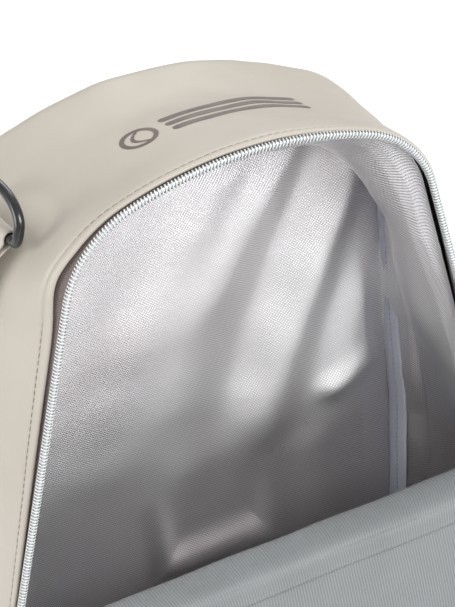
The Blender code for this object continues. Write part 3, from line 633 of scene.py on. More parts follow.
# ---------------------------------------------------------------- insulated compartment
LINING_FRONT_Y = RIM_Y + 0.0040
LINING_REAR_Y = DIVIDER_Y - 0.0035
LINING_FOLDS = (
    ((0.100, -0.055, 0.420), (0.034, 0.022, 0.050), 0.0240),     # slack lining hangs in the right shoulder
    ((0.118, -0.050, 0.350), (0.030, 0.018, 0.050), 0.0130),
    ((-0.100, -0.050, 0.400), (0.030, 0.024, 0.060), 0.0040),
    ((0.020, -0.050, 0.470), (0.060, 0.026, 0.030), 0.0060),
    ((0.135, -0.040, 0.270), (0.020, 0.016, 0.090), -0.0030),
    ((-0.130, -0.045, 0.280), (0.020, 0.020, 0.070), 0.0050),
)


def lining_inset(y):
    """How far inside the shell the side lining hangs: it narrows to the rear seam."""
    t = (y - LINING_FRONT_Y) / (LINING_REAR_Y - LINING_FRONT_Y)
    return 0.0042 + 0.0140 * t


def make_lining():
    """The metallised lining: sides, back wall and lower front, and the bound seam."""
    rows = []
    count = 56
    for k in range(count + 1):
        y = LINING_FRONT_Y + (LINING_REAR_Y - LINING_FRONT_Y) * k / count
        row = ring(y, lining_inset(y))
        fade = min(1.0, k / 7.0) * min(1.0, (count - k) / 8.0)
        depth = bumps(row, LINING_FOLDS) + 0.0022 * ripple(row, 24.0, 3) + 0.0010 * ripple(row, 60.0, 4)
        crease = 0.0030 * np.exp(-((y + 0.034) / 0.0022) ** 2)
        edge = 0.0004 * ripple(row, 700.0, 5) * (k < 2)
        sag = bumps(row, SHELL_DENTS) * min(1.0, k / 10.0)
        row = pushed(row, np.maximum(depth, -0.0020) * fade + sag - crease * fade + edge)
        row[:, 1] += 0.0006 * ripple(row, 420.0, 6) * (k == 0)
        drawn = 1.0 / (1.0 + np.exp(-(row[:, 0] - 0.055) * 110.0)) * (row[:, 2] > 0.26)
        row[:, 1] += 0.0055 * drawn * max(1.0 - k / 12.0, 0.0)
        rows.append(row)
    side = grid("lining_sides", rows, FOIL_MAT, closed=True, flip=True)
    keep(side, "shell", "silver_foil", "insulated_gusset_lining")
    make_back_wall()
    make_divider()
    flat = ring(LINING_FRONT_Y + 0.0015, 0.0052)
    flat = flat[flat[:, 2] < LIP_Z - 0.004]
    front = fan("lining_front", flat, (0.0, LINING_FRONT_Y + 0.0015, 0.11), 16, FOIL_MAT,
                lambda p: 0.0012 * ripple(p, 30.0, 8))
    keep(front, "shell", "silver_foil", "insulated_front_lining")
    make_binding()


def fan(name, loop, centre, rings, mat, relief, matrix=None):
    """A panel filled from its centre out to a closed loop; relief gives its Y offset."""
    centre = np.array(centre)
    verts = [centre]
    n = len(loop)
    for k in range(1, rings + 1):
        verts += list(centre + (loop - centre) * (k / rings))
    verts = np.array(verts)
    verts[:, 1] += relief(verts)
    faces = [(0, 1 + k, 1 + (k + 1) % n) for k in range(n)]
    for r in range(rings - 1):
        a, b = 1 + r * n, 1 + (r + 1) * n
        faces += [(a + k, b + k, b + (k + 1) % n, a + (k + 1) % n) for k in range(n)]
    uvs = verts[:, [0, 2]]
    if matrix is not None:
        verts = transform(verts, matrix)
    return add_object(name, verts, faces, mat, uvs)


# the back wall's folds fan out from the top: (upper end, lower end, width, height)
WALL_FOLDS = (
    ((0.062, 0.435), (0.000, 0.345), 0.012, 0.0060),
    ((0.030, 0.440), (-0.035, 0.330), 0.016, 0.0050),
    ((0.092, 0.400), (0.030, 0.250), 0.013, 0.0075),
    ((0.062, 0.400), (0.015, 0.290), 0.012, -0.0040),
    ((0.100, 0.330), (0.060, 0.200), 0.018, 0.0050),
    ((-0.060, 0.430), (-0.080, 0.250), 0.024, 0.0040),
    ((-0.010, 0.330), (-0.030, 0.160), 0.030, 0.0050),
    ((0.072, 0.268), (0.106, 0.282), 0.009, 0.0040),
    ((-0.050, 0.190), (0.060, 0.178), 0.014, 0.0060),
)


def fold_height(points, folds):
    """Height of rounded ridges that run from one point to another and fade at their ends."""
    total = np.zeros(len(points))
    flat = points[:, [0, 2]]
    for upper, lower, width, height in folds:
        a, b = np.array(upper), np.array(lower)
        along = (b - a) / np.linalg.norm(b - a)
        t = (flat - a) @ along / np.linalg.norm(b - a)
        across = (flat - a) @ np.array((-along[1], along[0]))
        grow = width * (0.7 + 0.6 * np.clip(t, 0, 1.3))
        ends = 1.0 / (1.0 + np.exp(-(t + 0.05) * 14)) / (1.0 + np.exp((t - 1.05) * 9))
        total += height * np.exp(-(across / grow) ** 2) * ends
    return total


def make_divider():
    """The padded wall between the two compartments, covered in body cloth."""
    loop = ring(DIVIDER_Y, 0.0115)[:, [0, 2]]
    f, b = DIVIDER_Y + 0.0002, DIVIDER_Y + 0.0058
    profile = [(0.02, f), (0.98, f), (1.0, f + 0.0012), (1.0, b - 0.0012), (0.985, b)]
    profile += [(share, b) for share in np.linspace(0.94, 0.02, 14)]
    wall = pillow("divider_cloth", loop, np.array((0.0, 0.24)), profile, FABRIC_MAT)
    keep(wall, "shell", "foam_white", "divider_wall")


def make_back_wall():
    """The rear wall of the insulated compartment, crumpled in long soft folds."""
    y = DIVIDER_Y - 0.0030
    loop = ring(y, 0.0165)

    def relief(p):
        radius = np.abs(p - np.array((0.0, y, 0.24)))
        edge = np.clip((1.0 - np.maximum(radius[:, 0] / 0.118, radius[:, 2] / 0.215)) * 6.0, 0.0, 1.0)
        soft = 0.0022 * ripple(p, 13.0, 7) + 0.0012 * ripple(p, 34.0, 9)
        return -(0.0030 + fold_height(p, WALL_FOLDS) + soft) * edge

    wall = fan("lining_back", loop, (0.0, y, 0.24), 76, FOIL_MAT, relief)
    keep(wall, "shell", "silver_foil", "insulated_back_lining")


def make_binding():
    """Grosgrain tape folded over the seam between the side lining and the back wall."""
    front_y, rear_y = LINING_REAR_Y - 0.0120, LINING_REAR_Y + 0.0006
    rows = []
    for k in range(9):
        t = k / 8
        y = front_y + (rear_y - front_y) * t
        crown = 0.0016 * math.sin(math.pi * min(max(t, 0.02), 0.98)) ** 0.5
        row = arch(y, lining_inset(y) + 0.0010 + crown, 2)
        wander = 0.0016 * ripple(row * (1, 0, 1), 16.0, 11)
        row = pushed(row, wander)
        row[:, 1] += 0.0014 * ripple(row * (1, 0, 1), 14.0, 12)
        rows.append(row)
    tape = grid("binding_tape", rows, BINDING_MAT, thickness=0.0009, flip=True)
    keep(tape, "shell", "grosgrain_grey", "seam_binding")
    thread = pushed(rows[3].copy(), np.full(len(rows[3]), 0.0003))
    row = stitches("binding_stitching", thread, (0.0, 1.0, 0.0), BINDING_MAT, 0.0026, 0.0034, 0.00028)
    keep(row, "shell", "grosgrain_grey")


# ---------------------------------------------------------------- front zip
def make_front_zip():
    """The coil on the rim, and the woven tape that carries it."""
    path = arch(RIM_Y + 0.0004, LEATHER, LIP_INDEX)
    coil = helix("rim_coil", path, (0.0, 1.0, 0.0), 0.00185, 0.78, 0.00175, 0.00042, COIL_MAT)
    keep(coil, "shell", "zip_coil_silver", "front_zip_coil_body")
    rows = []
    for y, inset in ((RIM_Y + 0.0006, 0.0016), (RIM_Y + 0.0016, 0.0026), (RIM_Y + 0.0050, 0.0031),
                     (RIM_Y + 0.0085, 0.0032), (RIM_Y + 0.0120, 0.0032)):
        rows.append(arch(y, inset, LIP_INDEX))
    tape = grid("rim_tape", rows, TAPE_MAT, thickness=0.0006, offset=0.0)
    keep(tape, "shell", "zip_tape_brown", "front_zip_tape_body")


# ---------------------------------------------------------------- front door
def door_turn():
    """From the closed door to where it hangs at rest."""
    there = Matrix.Translation(DOOR_AXIS)
    return there @ Matrix.Rotation(DOOR_REST, 4, "X") @ there.inverted()


def door_loop(inset, bottom, y):
    """The door's outline above its fold, as a closed loop of evenly spaced points."""
    line = arch(RIM_Y, inset, CORNER_INDEX)
    line = line[line[:, 2] > bottom]
    line[:, 1] = y
    half = line[0, 0] + (bottom - line[0, 2]) * math.tan(math.radians(-FRONT_OUTLINE[2]))
    left, right = np.array((-abs(half), y, bottom)), np.array((abs(half), y, bottom))
    floor = np.linspace(right, left, 40)
    return resample(np.concatenate([[left], line, floor]), 0.0036)[:-1]


DOOR_SKIN_Y = DOOR_AXIS.y + 0.0008
DOOR_FACE_Y = DOOR_SKIN_Y + 0.0074


def make_door():
    """The hanging door: padded leather outside, ribbed nylon inside, its half of the zip, a pocket."""
    turn = door_turn()
    bottom = LIP_Z + 0.0035
    centre_z = LIP_Z + 0.105

    def puff(height, sign):
        def relief(p):
            x = np.abs(p[:, 0]) / (0.130 - 0.22 * np.maximum(p[:, 2] - LIP_Z, 0.0))
            z = np.clip((LIP_Z + 0.226 - p[:, 2]) / 0.226, 0, 1)
            fall = np.clip((1.0 - x) * 7.0, 0, 1) * np.clip((1 - z) * 9.0, 0, 1) * np.clip(z * 9.0, 0, 1)
            return sign * height * np.sqrt(fall) + sign * 0.0012 * ripple(p, 20.0, 14) * fall
        return relief

    inner = fan("door_lining", door_loop(0.0142, bottom, DOOR_FACE_Y), (0.0, DOOR_FACE_Y, centre_z), 44,
                NYLON_MAT,
                puff(0.0016, 1), matrix=turn)
    keep(inner, "front_door", "ribbed_nylon", "door_inner_lining")
    outer = fan("door_skin", door_loop(0.0120, bottom, DOOR_SKIN_Y), (0.0, DOOR_SKIN_Y, centre_z), 40,
                LEATHER_MAT,
                puff(0.0010, -1), matrix=turn)
    keep(outer, "front_door", "taupe_leather", "door_outer_skin")
    edge_rows = []
    for t in np.linspace(0.0, 1.0, 7):
        bulge = 0.0016 * math.sin(math.pi * t)
        y = DOOR_SKIN_Y + (DOOR_FACE_Y - DOOR_SKIN_Y) * t
        edge_rows.append(door_loop(0.0120 + 0.0022 * t - bulge, bottom, y))
    shortest = min(len(r) for r in edge_rows)
    edge_rows = [closed_resample(r, shortest) for r in edge_rows]
    edge = grid("door_edge", edge_rows, LEATHER_MAT, closed=True, matrix=turn)
    keep(edge, "front_door", "taupe_leather")
    line = arch(RIM_Y, DOOR_COIL_INSET, LIP_INDEX)
    line = line[line[:, 2] > LIP_Z + DOOR_ZIP_START]
    line[:, 1] = DOOR_SKIN_Y + 0.0043
    coil = helix("door_coil", transform(line, turn), turn.to_3x3() @ Vector((0, 1, 0)), 0.00185, 0.78,
                 0.00175, 0.00042,
                 COIL_MAT)
    keep(coil, "front_door", "zip_coil_silver", "front_zip_coil_door")
    frame["nodes"]["front_zip_tape_door"].data.materials.clear()
    frame["nodes"]["front_zip_tape_door"].data.materials.append(TAPE_OBJECT_MAT)
    make_pocket(turn)
    make_fold()


def closed_resample(loop, count):
    """A closed loop with another number of points."""
    full = np.concatenate([loop, loop[:1]])
    length = np.concatenate([[0.0], np.cumsum(np.linalg.norm(np.diff(full, axis=0), axis=1))])
    targets = np.linspace(0.0, length[-1], count + 1)[:-1]
    return np.stack([np.interp(targets, length, full[:, k]) for k in range(3)], axis=1)


def make_fold():
    """The ribbed lining rolls over the lip, from inside the compartment on to the hanging door."""
    profile = [(RIM_Y + 0.0062, LIP_Z - 0.012), (RIM_Y + 0.0060, LIP_Z - 0.004),
               (RIM_Y + 0.0045, LIP_Z + 0.0006),
               (RIM_Y + 0.0015, LIP_Z + 0.0026), (RIM_Y - 0.0030, LIP_Z + 0.0032), (RIM_Y - 0.0080,
                                                                                    LIP_Z + 0.0030),
               (RIM_Y - 0.0125, LIP_Z + 0.0020), (RIM_Y - 0.0160, LIP_Z + 0.0002), (RIM_Y - 0.0186,
                                                                                    LIP_Z - 0.0026),
               (RIM_Y - 0.0205, LIP_Z - 0.0062), (RIM_Y - 0.0217, LIP_Z - 0.0100)]
    profile = smooth_path([(0.0, y, z) for y, z in profile], 26)[:, 1:]
    xs = np.linspace(-1.0, 1.0, 90)
    rows = []
    for y, z in profile:
        half = half_outline(RIM_Y, 0.0065)[LIP_INDEX][0] - 0.55 * max(RIM_Y - 0.0060 - y, 0.0)
        row = np.stack([xs * half, np.full(90, y), np.full(90, z)], axis=1)
        row[:, 2] += 0.0007 * ripple(row, 28.0, 15)
        row[:, 1] += 0.0006 * ripple(row, 24.0, 16)
        rows.append(row)
    fold = grid("lip_fold", rows, NYLON_MAT, thickness=0.0008)
    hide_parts("door_fold_strip")
    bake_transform(fold)


POCKET_WIDTH, POCKET_LOW, POCKET_HIGH = 0.150, LIP_Z + 0.072, LIP_Z + 0.192


def make_pocket(turn):
    """The accessory pocket on the door's outer face, with its own zip."""
    middle = (POCKET_HIGH + POCKET_LOW) / 2
    loop2 = rounded_section(POCKET_WIDTH, POCKET_HIGH - POCKET_LOW, 0.016, 8)
    loop = np.stack([loop2[:, 0], np.zeros(len(loop2)), loop2[:, 1] + middle], axis=1)
    base_y = DOOR_SKIN_Y - 0.0004
    rows = []
    for inset, depth in ((0.0, 0.0), (0.0, 0.006), (0.005, 0.010), (0.024, 0.0122), (0.06, 0.0130),
                         (0.16, 0.0131),
                         (0.40, 0.0134), (0.70, 0.0136), (0.99, 0.0136)):
        row = (loop - (0, 0, middle)) * (1 - inset) + (0, base_y - depth, middle)
        rows.append(closed_resample(row, 120))
    pocket = grid("door_pocket_skin", rows, LEATHER_MAT, closed=True, matrix=turn, flip=True)
    keep(pocket, "front_door", "taupe_leather", "door_pocket")
    zip_z = POCKET_HIGH - 0.020
    path = np.stack([np.linspace(-0.060, 0.060, 60), np.full(60, base_y - 0.0137), np.full(60, zip_z)],
                    axis=1)
    coil = helix("pocket_coil", transform(path, turn), turn.to_3x3() @ Vector((0, 1, 0)), 0.0014, 0.6,
                 0.0014, 0.0003,
                 DARK_COIL_MAT)
    keep(coil, "front_door", "zip_coil_dark")
    for sign, suffix in ((-1, "lower"), (1, "upper")):
        band = np.array([[(x, base_y - d, zip_z + sign * w) for x in np.linspace(-0.063, 0.063, 30)]
                         for w, d in ((0.0012, 0.0134), (0.0030, 0.0139), (0.0046, 0.0140),
                                      (0.0052, 0.0132))])
        tape = grid("pocket_tape_" + suffix, band, TAPE_MAT, matrix=turn, thickness=0.0005)
        keep(tape, "front_door", "zip_tape_brown")


TAPE_OBJECT_MAT = woven_material("zip_tape_flat", (0.110, 0.080, 0.072), (0.285, 0.220, 0.200), 0.0011,
                                 0.0011,
                                 coords="Object")


# ---------------------------------------------------------------- front and back fixed panels
def make_lower_panels():
    """The padded lower front and its piping."""
    y = RIM_Y - 0.0012
    loop = ring(RIM_Y, 0.0006)
    loop = loop[loop[:, 2] < LIP_Z - 0.009]
    loop[:, 1] = y
    top = LIP_Z - 0.0085
    half = abs(loop[np.argmax(loop[:, 2]), 0])
    ends = [np.array((s * half, y, top)) for s in (1, -1)]
    order = np.argsort(np.arctan2(loop[:, 2] - top, loop[:, 0]))
    loop = np.concatenate([loop[order], np.linspace(ends[0], ends[1], 40)])
    loop = closed_resample(loop, 220)

    def relief(p):
        edge = np.clip(np.minimum((0.1545 - np.abs(p[:, 0])) / 0.012,
                                  np.minimum(p[:, 2], top - p[:, 2]) / 0.012), 0, 1)
        return -0.0026 * np.sqrt(edge) * (1.0 + 0.4 * ripple(p, 16.0, 20))

    lower = fan("lower_front", loop, (0.0, y, 0.115), 40, LEATHER_MAT, relief)
    keep(lower, "shell", "taupe_leather", "front_lower_panel")
    piping = np.concatenate([loop[:, :1], np.full((len(loop), 1), y + 0.0006), loop[:, 2:]], axis=1)
    welt = swept("lower_front_piping", piping, circle(0.0016, 8), LEATHER_MAT, closed=True)
    keep(welt, "shell", "taupe_leather")


# ---------------------------------------------------------------- printed mark on the top
PRINT_LIFT = 0.0002        # the ink stands this far off the cloth


def on_shell(x, y):
    """A point on the shell's upper side, with its dents, a little above the cloth."""
    upper = half_outline(y, -PRINT_LIFT)[CORNER_INDEX:]
    z = np.interp(abs(x), upper[::-1, 0], upper[::-1, 1])
    point = np.array([(x, y, z)])
    depth = bumps(point, SHELL_DENTS) + 0.0009 * ripple(point, 22.0, 1) + 0.0006 * ripple(point, 55.0, 2)
    fade = min(1.0, abs(y - RIM_Y) / 0.030) * min(1.0, max(BACK_Y - y, 0.0) / 0.020 + 0.1)
    return pushed(point, depth * fade)[0]


MARK_CENTRE = (-0.030, -0.030)
MARK_TURN = math.radians(5.0)


def mark_point(u, v):
    """A point of the mark, u along the bag's width and v toward its back."""
    x = MARK_CENTRE[0] + u * math.cos(MARK_TURN) - v * math.sin(MARK_TURN)
    y = MARK_CENTRE[1] + u * math.sin(MARK_TURN) + v * math.cos(MARK_TURN)
    return on_shell(x, y)


def make_mark():
    """A plain printed mark: a ball with a curved seam, and three bars beside it."""
    radius = 0.0095
    ringed = []
    for r in (radius, radius - 0.0024):
        ringed.append([mark_point(r * math.cos(a), r * math.sin(a)) for a in np.linspace(0, 2 * math.pi,
                                                                                         49)])
    keep(grid("mark_ball", ringed, PRINT_MAT), "shell", "taupe_leather")
    seam = []
    for offset in (-0.0010, 0.0010):
        seam.append([mark_point(-0.0030 + offset + 0.0055 * (t * t), 0.0068 * t) for t in np.linspace(-1,
                                                                                                      1, 25)])
    keep(grid("mark_seam", seam, PRINT_MAT), "shell", "taupe_leather")
    for k, (length, v) in enumerate(((0.078, 0.0070), (0.078, 0.0), (0.078, -0.0070))):
        rows = []
        for w in (-0.0022, 0.0022):
            rows.append([mark_point(0.0150 + length * t, v + w * min(1.0, 30 * (1.01 - t),
                                                                     30 * (t + 0.01)) ** 0.5)
                         for t in np.linspace(0, 1, 90)])
        keep(grid("mark_bar_%d" % (k + 1), rows, PRINT_MAT), "shell", "taupe_leather")


# ---------------------------------------------------------------- solids from outlines
def slab(name, outline, thickness, matrix, mat, bevel=0.0004, holes=()):
    """A flat plate with rounded edges: an outline in X-Z, its thickness along Y."""
    curve = bpy.data.curves.new(name, "CURVE")
    curve.dimensions = "2D"
    curve.fill_mode = "BOTH"
    curve.extrude = thickness / 2 - bevel
    curve.bevel_depth = bevel
    curve.bevel_resolution = 2
    curve.offset = -bevel
    for loop in (outline, *holes):
        spline = curve.splines.new("POLY")
        spline.points.add(len(loop) - 1)
        for point, (u, v) in zip(spline.points, loop):
            point.co = (u, v, 0.0, 1.0)
        spline.use_cyclic_u = True
    temp = bpy.data.objects.new(name + "_curve", curve)
    mesh = bpy.data.meshes.new_from_object(temp)
    bpy.data.objects.remove(temp)
    bpy.data.curves.remove(curve)
    mesh.transform(matrix @ Matrix.Rotation(math.pi / 2, 4, "X"))
    mesh.name = name
    mesh.materials.clear()
    mesh.materials.append(mat)
    mesh.shade_smooth()
    mesh.set_sharp_from_angle(angle=math.radians(35))
    obj = bpy.data.objects.new(name, mesh)
    bpy.context.scene.collection.objects.link(obj)
    return obj


def pillow(name, loop, middle, profile, mat, relief=None):
    """A closed soft form: each profile row is (share of the outline, Y), from one middle to the other."""
    loop = np.asarray(loop)
    rows = []
    for share, y in profile:
        flat = middle + (loop - middle) * share
        row = np.stack([flat[:, 0], np.full(len(loop), y), flat[:, 1]], axis=1)
        if relief is not None:
            row[:, 1] += relief(row, share)
        rows.append(row)
    n = len(loop)
    rows = np.array(rows)
    faces = []
    for i in range(len(rows) - 1):
        for k in range(n):
            faces.append((i * n + k, i * n + (k + 1) % n, (i + 1) * n + (k + 1) % n, (i + 1) * n + k))
    faces.append(tuple(range(n))[::-1])
    faces.append(tuple(range((len(rows) - 1) * n, len(rows) * n)))
    verts = rows.reshape(-1, 3)
    uvs = verts[:, [0, 2]]
    return add_object(name, verts, faces, mat, uvs)


def rounded_loop(width, height, radius, x=0.0, z=0.0, count=96):
    """A rounded rectangle of evenly spaced points, centred at x, z."""
    flat = rounded_section(width, height, radius, 8)
    loop = closed_resample(np.stack([flat[:, 0], np.zeros(len(flat)), flat[:, 1]], axis=1), count)
    return loop[:, [0, 2]] + (x, z)


def stand(points2, y):
    """Outline points stood up at depth y."""
    return np.stack([points2[:, 0], np.full(len(points2), y), points2[:, 1]], axis=1)


# ---------------------------------------------------------------- sliders and pulls
def node_frame(name):
    """Centre and size of a node at rest."""
    low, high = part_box(name)
    return (Vector(low) + Vector(high)) / 2, Vector(high) - Vector(low)


def slider_shape(length, width):
    """The waisted top plate of a slider, from above."""
    half = []
    for t in np.linspace(0, 1, 13):
        half.append((width / 2 * (1.0 - 0.22 * math.sin(math.pi * min(t * 1.15,
                                                                      1.0)) ** 2 - 0.35 * max(t - 0.85,
                                                                                              0) * 4),
                     length * (t - 0.5)))
    return half + [(-x, z) for x, z in reversed(half)]


def make_slider(node, body, lean, length, width, mat):
    """Two waisted plates, joined by a post."""
    centre, size = node_frame(node)
    thick = min(size.y, 0.0030)
    place = Matrix.Translation(centre) @ Matrix.Rotation(lean, 4, "Y")
    for k, side in enumerate((-1, 1)):
        offset = Matrix.Translation((0.0, side * (thick / 2 - 0.0005), 0.0))
        plate = slab("%s_plate_%d" % (node, k), slider_shape(length, width), 0.0010, place @ offset, mat,
                     0.0003)
        keep(plate, body, "zip_slider_silver" if mat is SILVER_MAT else "black_metal", node)
    post = slab(node + "_post", rounded_section(width * 0.4, length * 0.35, 0.0008), thick, place, mat,
                0.0002)
    keep(post, body, "zip_slider_silver" if mat is SILVER_MAT else "black_metal")
    return place, thick


def make_pull(node, body, mat, slot):
    """A cast pull: an eye at the top, a waisted shank and a ridged grip."""
    centre, size = node_frame(node)
    length, width = size.z, size.x
    outline = []
    for t in np.linspace(0, 1, 25):
        z = length * (0.5 - t)
        shape = 0.5 if t > 0.35 else 0.5 - 0.16 * math.sin(math.pi * t / 0.35) ** 2
        cap = min(1.0, math.sqrt(max(1 - ((abs(t - 0.5) - 0.5 + 0.10) / 0.10) ** 2,
                                     0.05)) if abs(t - 0.5) > 0.40 else 1.0)
        outline.append((width * shape * cap, z))
    outline = outline + [(-x, z) for x, z in reversed(outline)]
    top = length / 2
    eye = [(0.0014 * math.cos(a), top - 0.0026 + 0.0014 * math.sin(a)) for a in np.linspace(0, 2 * math.pi,
                                                                                            17)[:-1]]
    plate = slab(node + "_plate", outline, min(size.y, 0.0017), Matrix.Translation(centre), mat, 0.0004,
                 holes=(eye,))
    keep(plate, body, slot, node)
    for k in range(3):
        z = -length * (0.10 + 0.11 * k)
        for side in (-1, 1):
            path = [(x, side * size.y * 0.46, z) for x in np.linspace(-width * 0.30, width * 0.30, 7)]
            rib = swept("%s_rib_%d_%d" % (node, k, side + 1), np.array(path) + np.array(centre),
                        circle(0.0003, 6), mat)
            keep(rib, body, slot)


def make_sliders():
    """The two front sliders, and the front and rear pulls."""
    flare = math.radians(FRONT_OUTLINE[2])
    for side, suffix in ((-1, "left"), (1, "right")):
        make_slider("front_slider_" + suffix, "front_slider_" + suffix, -flare * side, 0.0135, 0.0072,
                    SILVER_MAT)
        make_pull("front_pull_" + suffix, "front_pull_" + suffix, SILVER_MAT, "zip_slider_silver")
        make_pull("rear_pull_" + suffix, "rear_pull_" + suffix, BLACK_MAT, "black_metal")


# ---------------------------------------------------------------- D-ring
D_SHANK, D_BOW, D_HALF, D_WIRE = 0.0080, 0.0115, 0.0225, 0.0026
D_LEAN = math.radians(15.0)
TAB_LOW_Z, TAB_LIFT, TAB_THICK, TAB_WIDTH = 0.396, 0.0048, 0.0042, 0.032


def shell_x(z, y, offset):
    """Half width of the bag at a height, on a surface that stands off the shell."""
    points = half_outline(y, -offset)[CORNER_INDEX:]
    return float(np.interp(z, points[:, 1], points[:, 0]))


def make_d_ring():
    """The wire ring, and the folded leather tab that holds its bar."""
    joint = next(j for j in frame["record"]["behaviour"]["joints"] if j["name"] == "d_ring_hinge")
    bar = np.array(joint["pos_m"])
    along = np.array(joint["axis"]) * (1.0 if joint["axis"][1] > 0 else -1.0)
    inward = np.array((along[1], -along[0], 0.0))
    rise = inward * math.sin(D_LEAN) + np.array((0.0, 0.0, math.cos(D_LEAN)))
    angles = np.linspace(0.0, math.pi, 40)
    bow = [(D_HALF * math.cos(a), D_SHANK + D_BOW * math.sin(a)) for a in angles]
    corner = [(-D_HALF, 0.0040), (-D_HALF * 0.985, 0.0016), (-D_HALF * 0.94, 0.0003)]
    base = [(u, 0.0) for u in np.linspace(-0.86, 0.86, 12) * D_HALF]
    wire = bow + corner + base + [(-u, v) for u, v in reversed(corner)]
    path = closed_resample(np.array([bar + along * u + rise * v for u, v in wire]), 110)
    ring_piece = swept("d_ring_wire", path, circle(D_WIRE, 14), BLACK_MAT, up=np.cross(along, rise),
                       closed=True)
    keep(ring_piece, "d_ring", "black_metal", "d_ring")
    middle_y = bar[1]
    outward = -inward

    def station(z, offset):
        x = shell_x(z, middle_y, offset)
        return np.array((-x, middle_y, z))

    top_z = bar[2] - 0.0085
    outer = [station(z, TAB_LIFT + TAB_THICK - 0.0007) for z in np.linspace(TAB_LOW_Z, top_z, 9)]
    loop = [bar + outward * 0.0036 * math.cos(a) + np.array((0, 0, 0.0036 * math.sin(a)))
            for a in np.radians(np.linspace(-20, 215, 14))]
    inner = [station(z, TAB_LIFT + 0.0008) for z in np.linspace(top_z, TAB_LOW_Z, 9)]
    fold = smooth_path(outer + loop + inner, 70)
    strap = swept("d_ring_tab_strap", fold, rounded_section(TAB_WIDTH, 0.0013, 0.0005, 2), LEATHER_MAT,
                  up=outward_for(fold, along))
    keep(strap, "shell", "taupe_leather", "d_ring_tab")
    core = [station(z, TAB_LIFT + TAB_THICK / 2) for z in np.linspace(TAB_LOW_Z, top_z - 0.002, 9)]
    core = smooth_path(core, 24)
    filler = swept("d_ring_tab_core", core, rounded_section(TAB_WIDTH - 0.0010, 0.0015, 0.0003, 2), CORE_MAT,
                   up=outward_for(core, along))
    keep(filler, "shell", "taupe_leather")
    for side in (-1, 1):
        line = [station(z, TAB_LIFT + TAB_THICK + 0.0001) + along * side * (TAB_WIDTH / 2 - 0.003)
                for z in np.linspace(TAB_LOW_Z + 0.001, top_z - 0.003, 12)]
        sewn = stitches("d_ring_tab_stitching_%d" % (side + 1), line, outward, THREAD_MAT, 0.0024, 0.0034)
        keep(sewn, "shell", "taupe_leather")


def outward_for(path, along):
    """Normals of a strap that is folded about one axis, so that its width lies along it."""
    tangent = np.gradient(np.asarray(path), axis=0)
    tangent /= np.linalg.norm(tangent, axis=1)[:, None]
    return np.cross(tangent, np.broadcast_to(along, tangent.shape))


def smooth_path(points, count):
    """A softened line through points, evenly spaced, its ends kept."""
    path = np.asarray(points, dtype=float)
    for _ in range(2):
        cut = [path[0]]
        for a, b in zip(path, path[1:]):
            cut += [a * 0.75 + b * 0.25, a * 0.25 + b * 0.75]
        path = np.array(cut + [path[-1]])
    length = np.concatenate([[0.0], np.cumsum(np.linalg.norm(np.diff(path, axis=0), axis=1))])
    targets = np.linspace(0.0, length[-1], count)
    return np.stack([np.interp(targets, length, path[:, k]) for k in range(3)], axis=1)


CORE_MAT = woven_material("tab_core", (0.16, 0.11, 0.085), (0.30, 0.22, 0.17), 0.0008, 0.0008,
                          coords="Object")


# ---------------------------------------------------------------- rear zip, back lid
def make_rear_zip():
    """The two coils of the main zip."""
    y = BACK_Y - 0.0018 - 0.0012
    line = arch(y, 0.0010, CORNER_INDEX)
    for name, body, shift in (("rear_zip_coil_gusset", "shell", 0.0),
                              ("rear_zip_coil_panel", "back_lid", 0.0039)):
        path = line + (0.0, shift, 0.0)
        coil = helix(name + "_strand", path, (0.0, 1.0, 0.0), 0.0015, 0.8, 0.0018, 0.00038, DARK_COIL_MAT)
        keep(coil, body, "zip_coil_dark", name)
    bridge = [arch(line_y, inset, CORNER_INDEX) for line_y, inset in
              ((y + 0.0045, 0.0016), (y + 0.0052, 0.0030), (PANEL_FRONT_Y - 0.0002, 0.0060),
               (PANEL_FRONT_Y - 0.0002, 0.0110))]
    tape = grid("rear_zip_panel_tape", bridge, TAPE_MAT, thickness=0.0005)
    keep(tape, "back_lid", "zip_tape_brown")


BACK_POINTS = 200


def clipped_ring(inset, low, high):
    """The back's outline between two heights, as a closed loop."""
    loop = ring(BACK_Y, inset)[:, [0, 2]]
    dense = closed_resample(np.stack([loop[:, 0], np.zeros(len(loop)), loop[:, 1]], axis=1), 900)[:, [0, 2]]
    dense[:, 1] = np.clip(dense[:, 1], low, high)
    return closed_resample(np.stack([dense[:, 0], np.zeros(len(dense)), dense[:, 1]], axis=1),
                           BACK_POINTS)[:, [0, 2]]


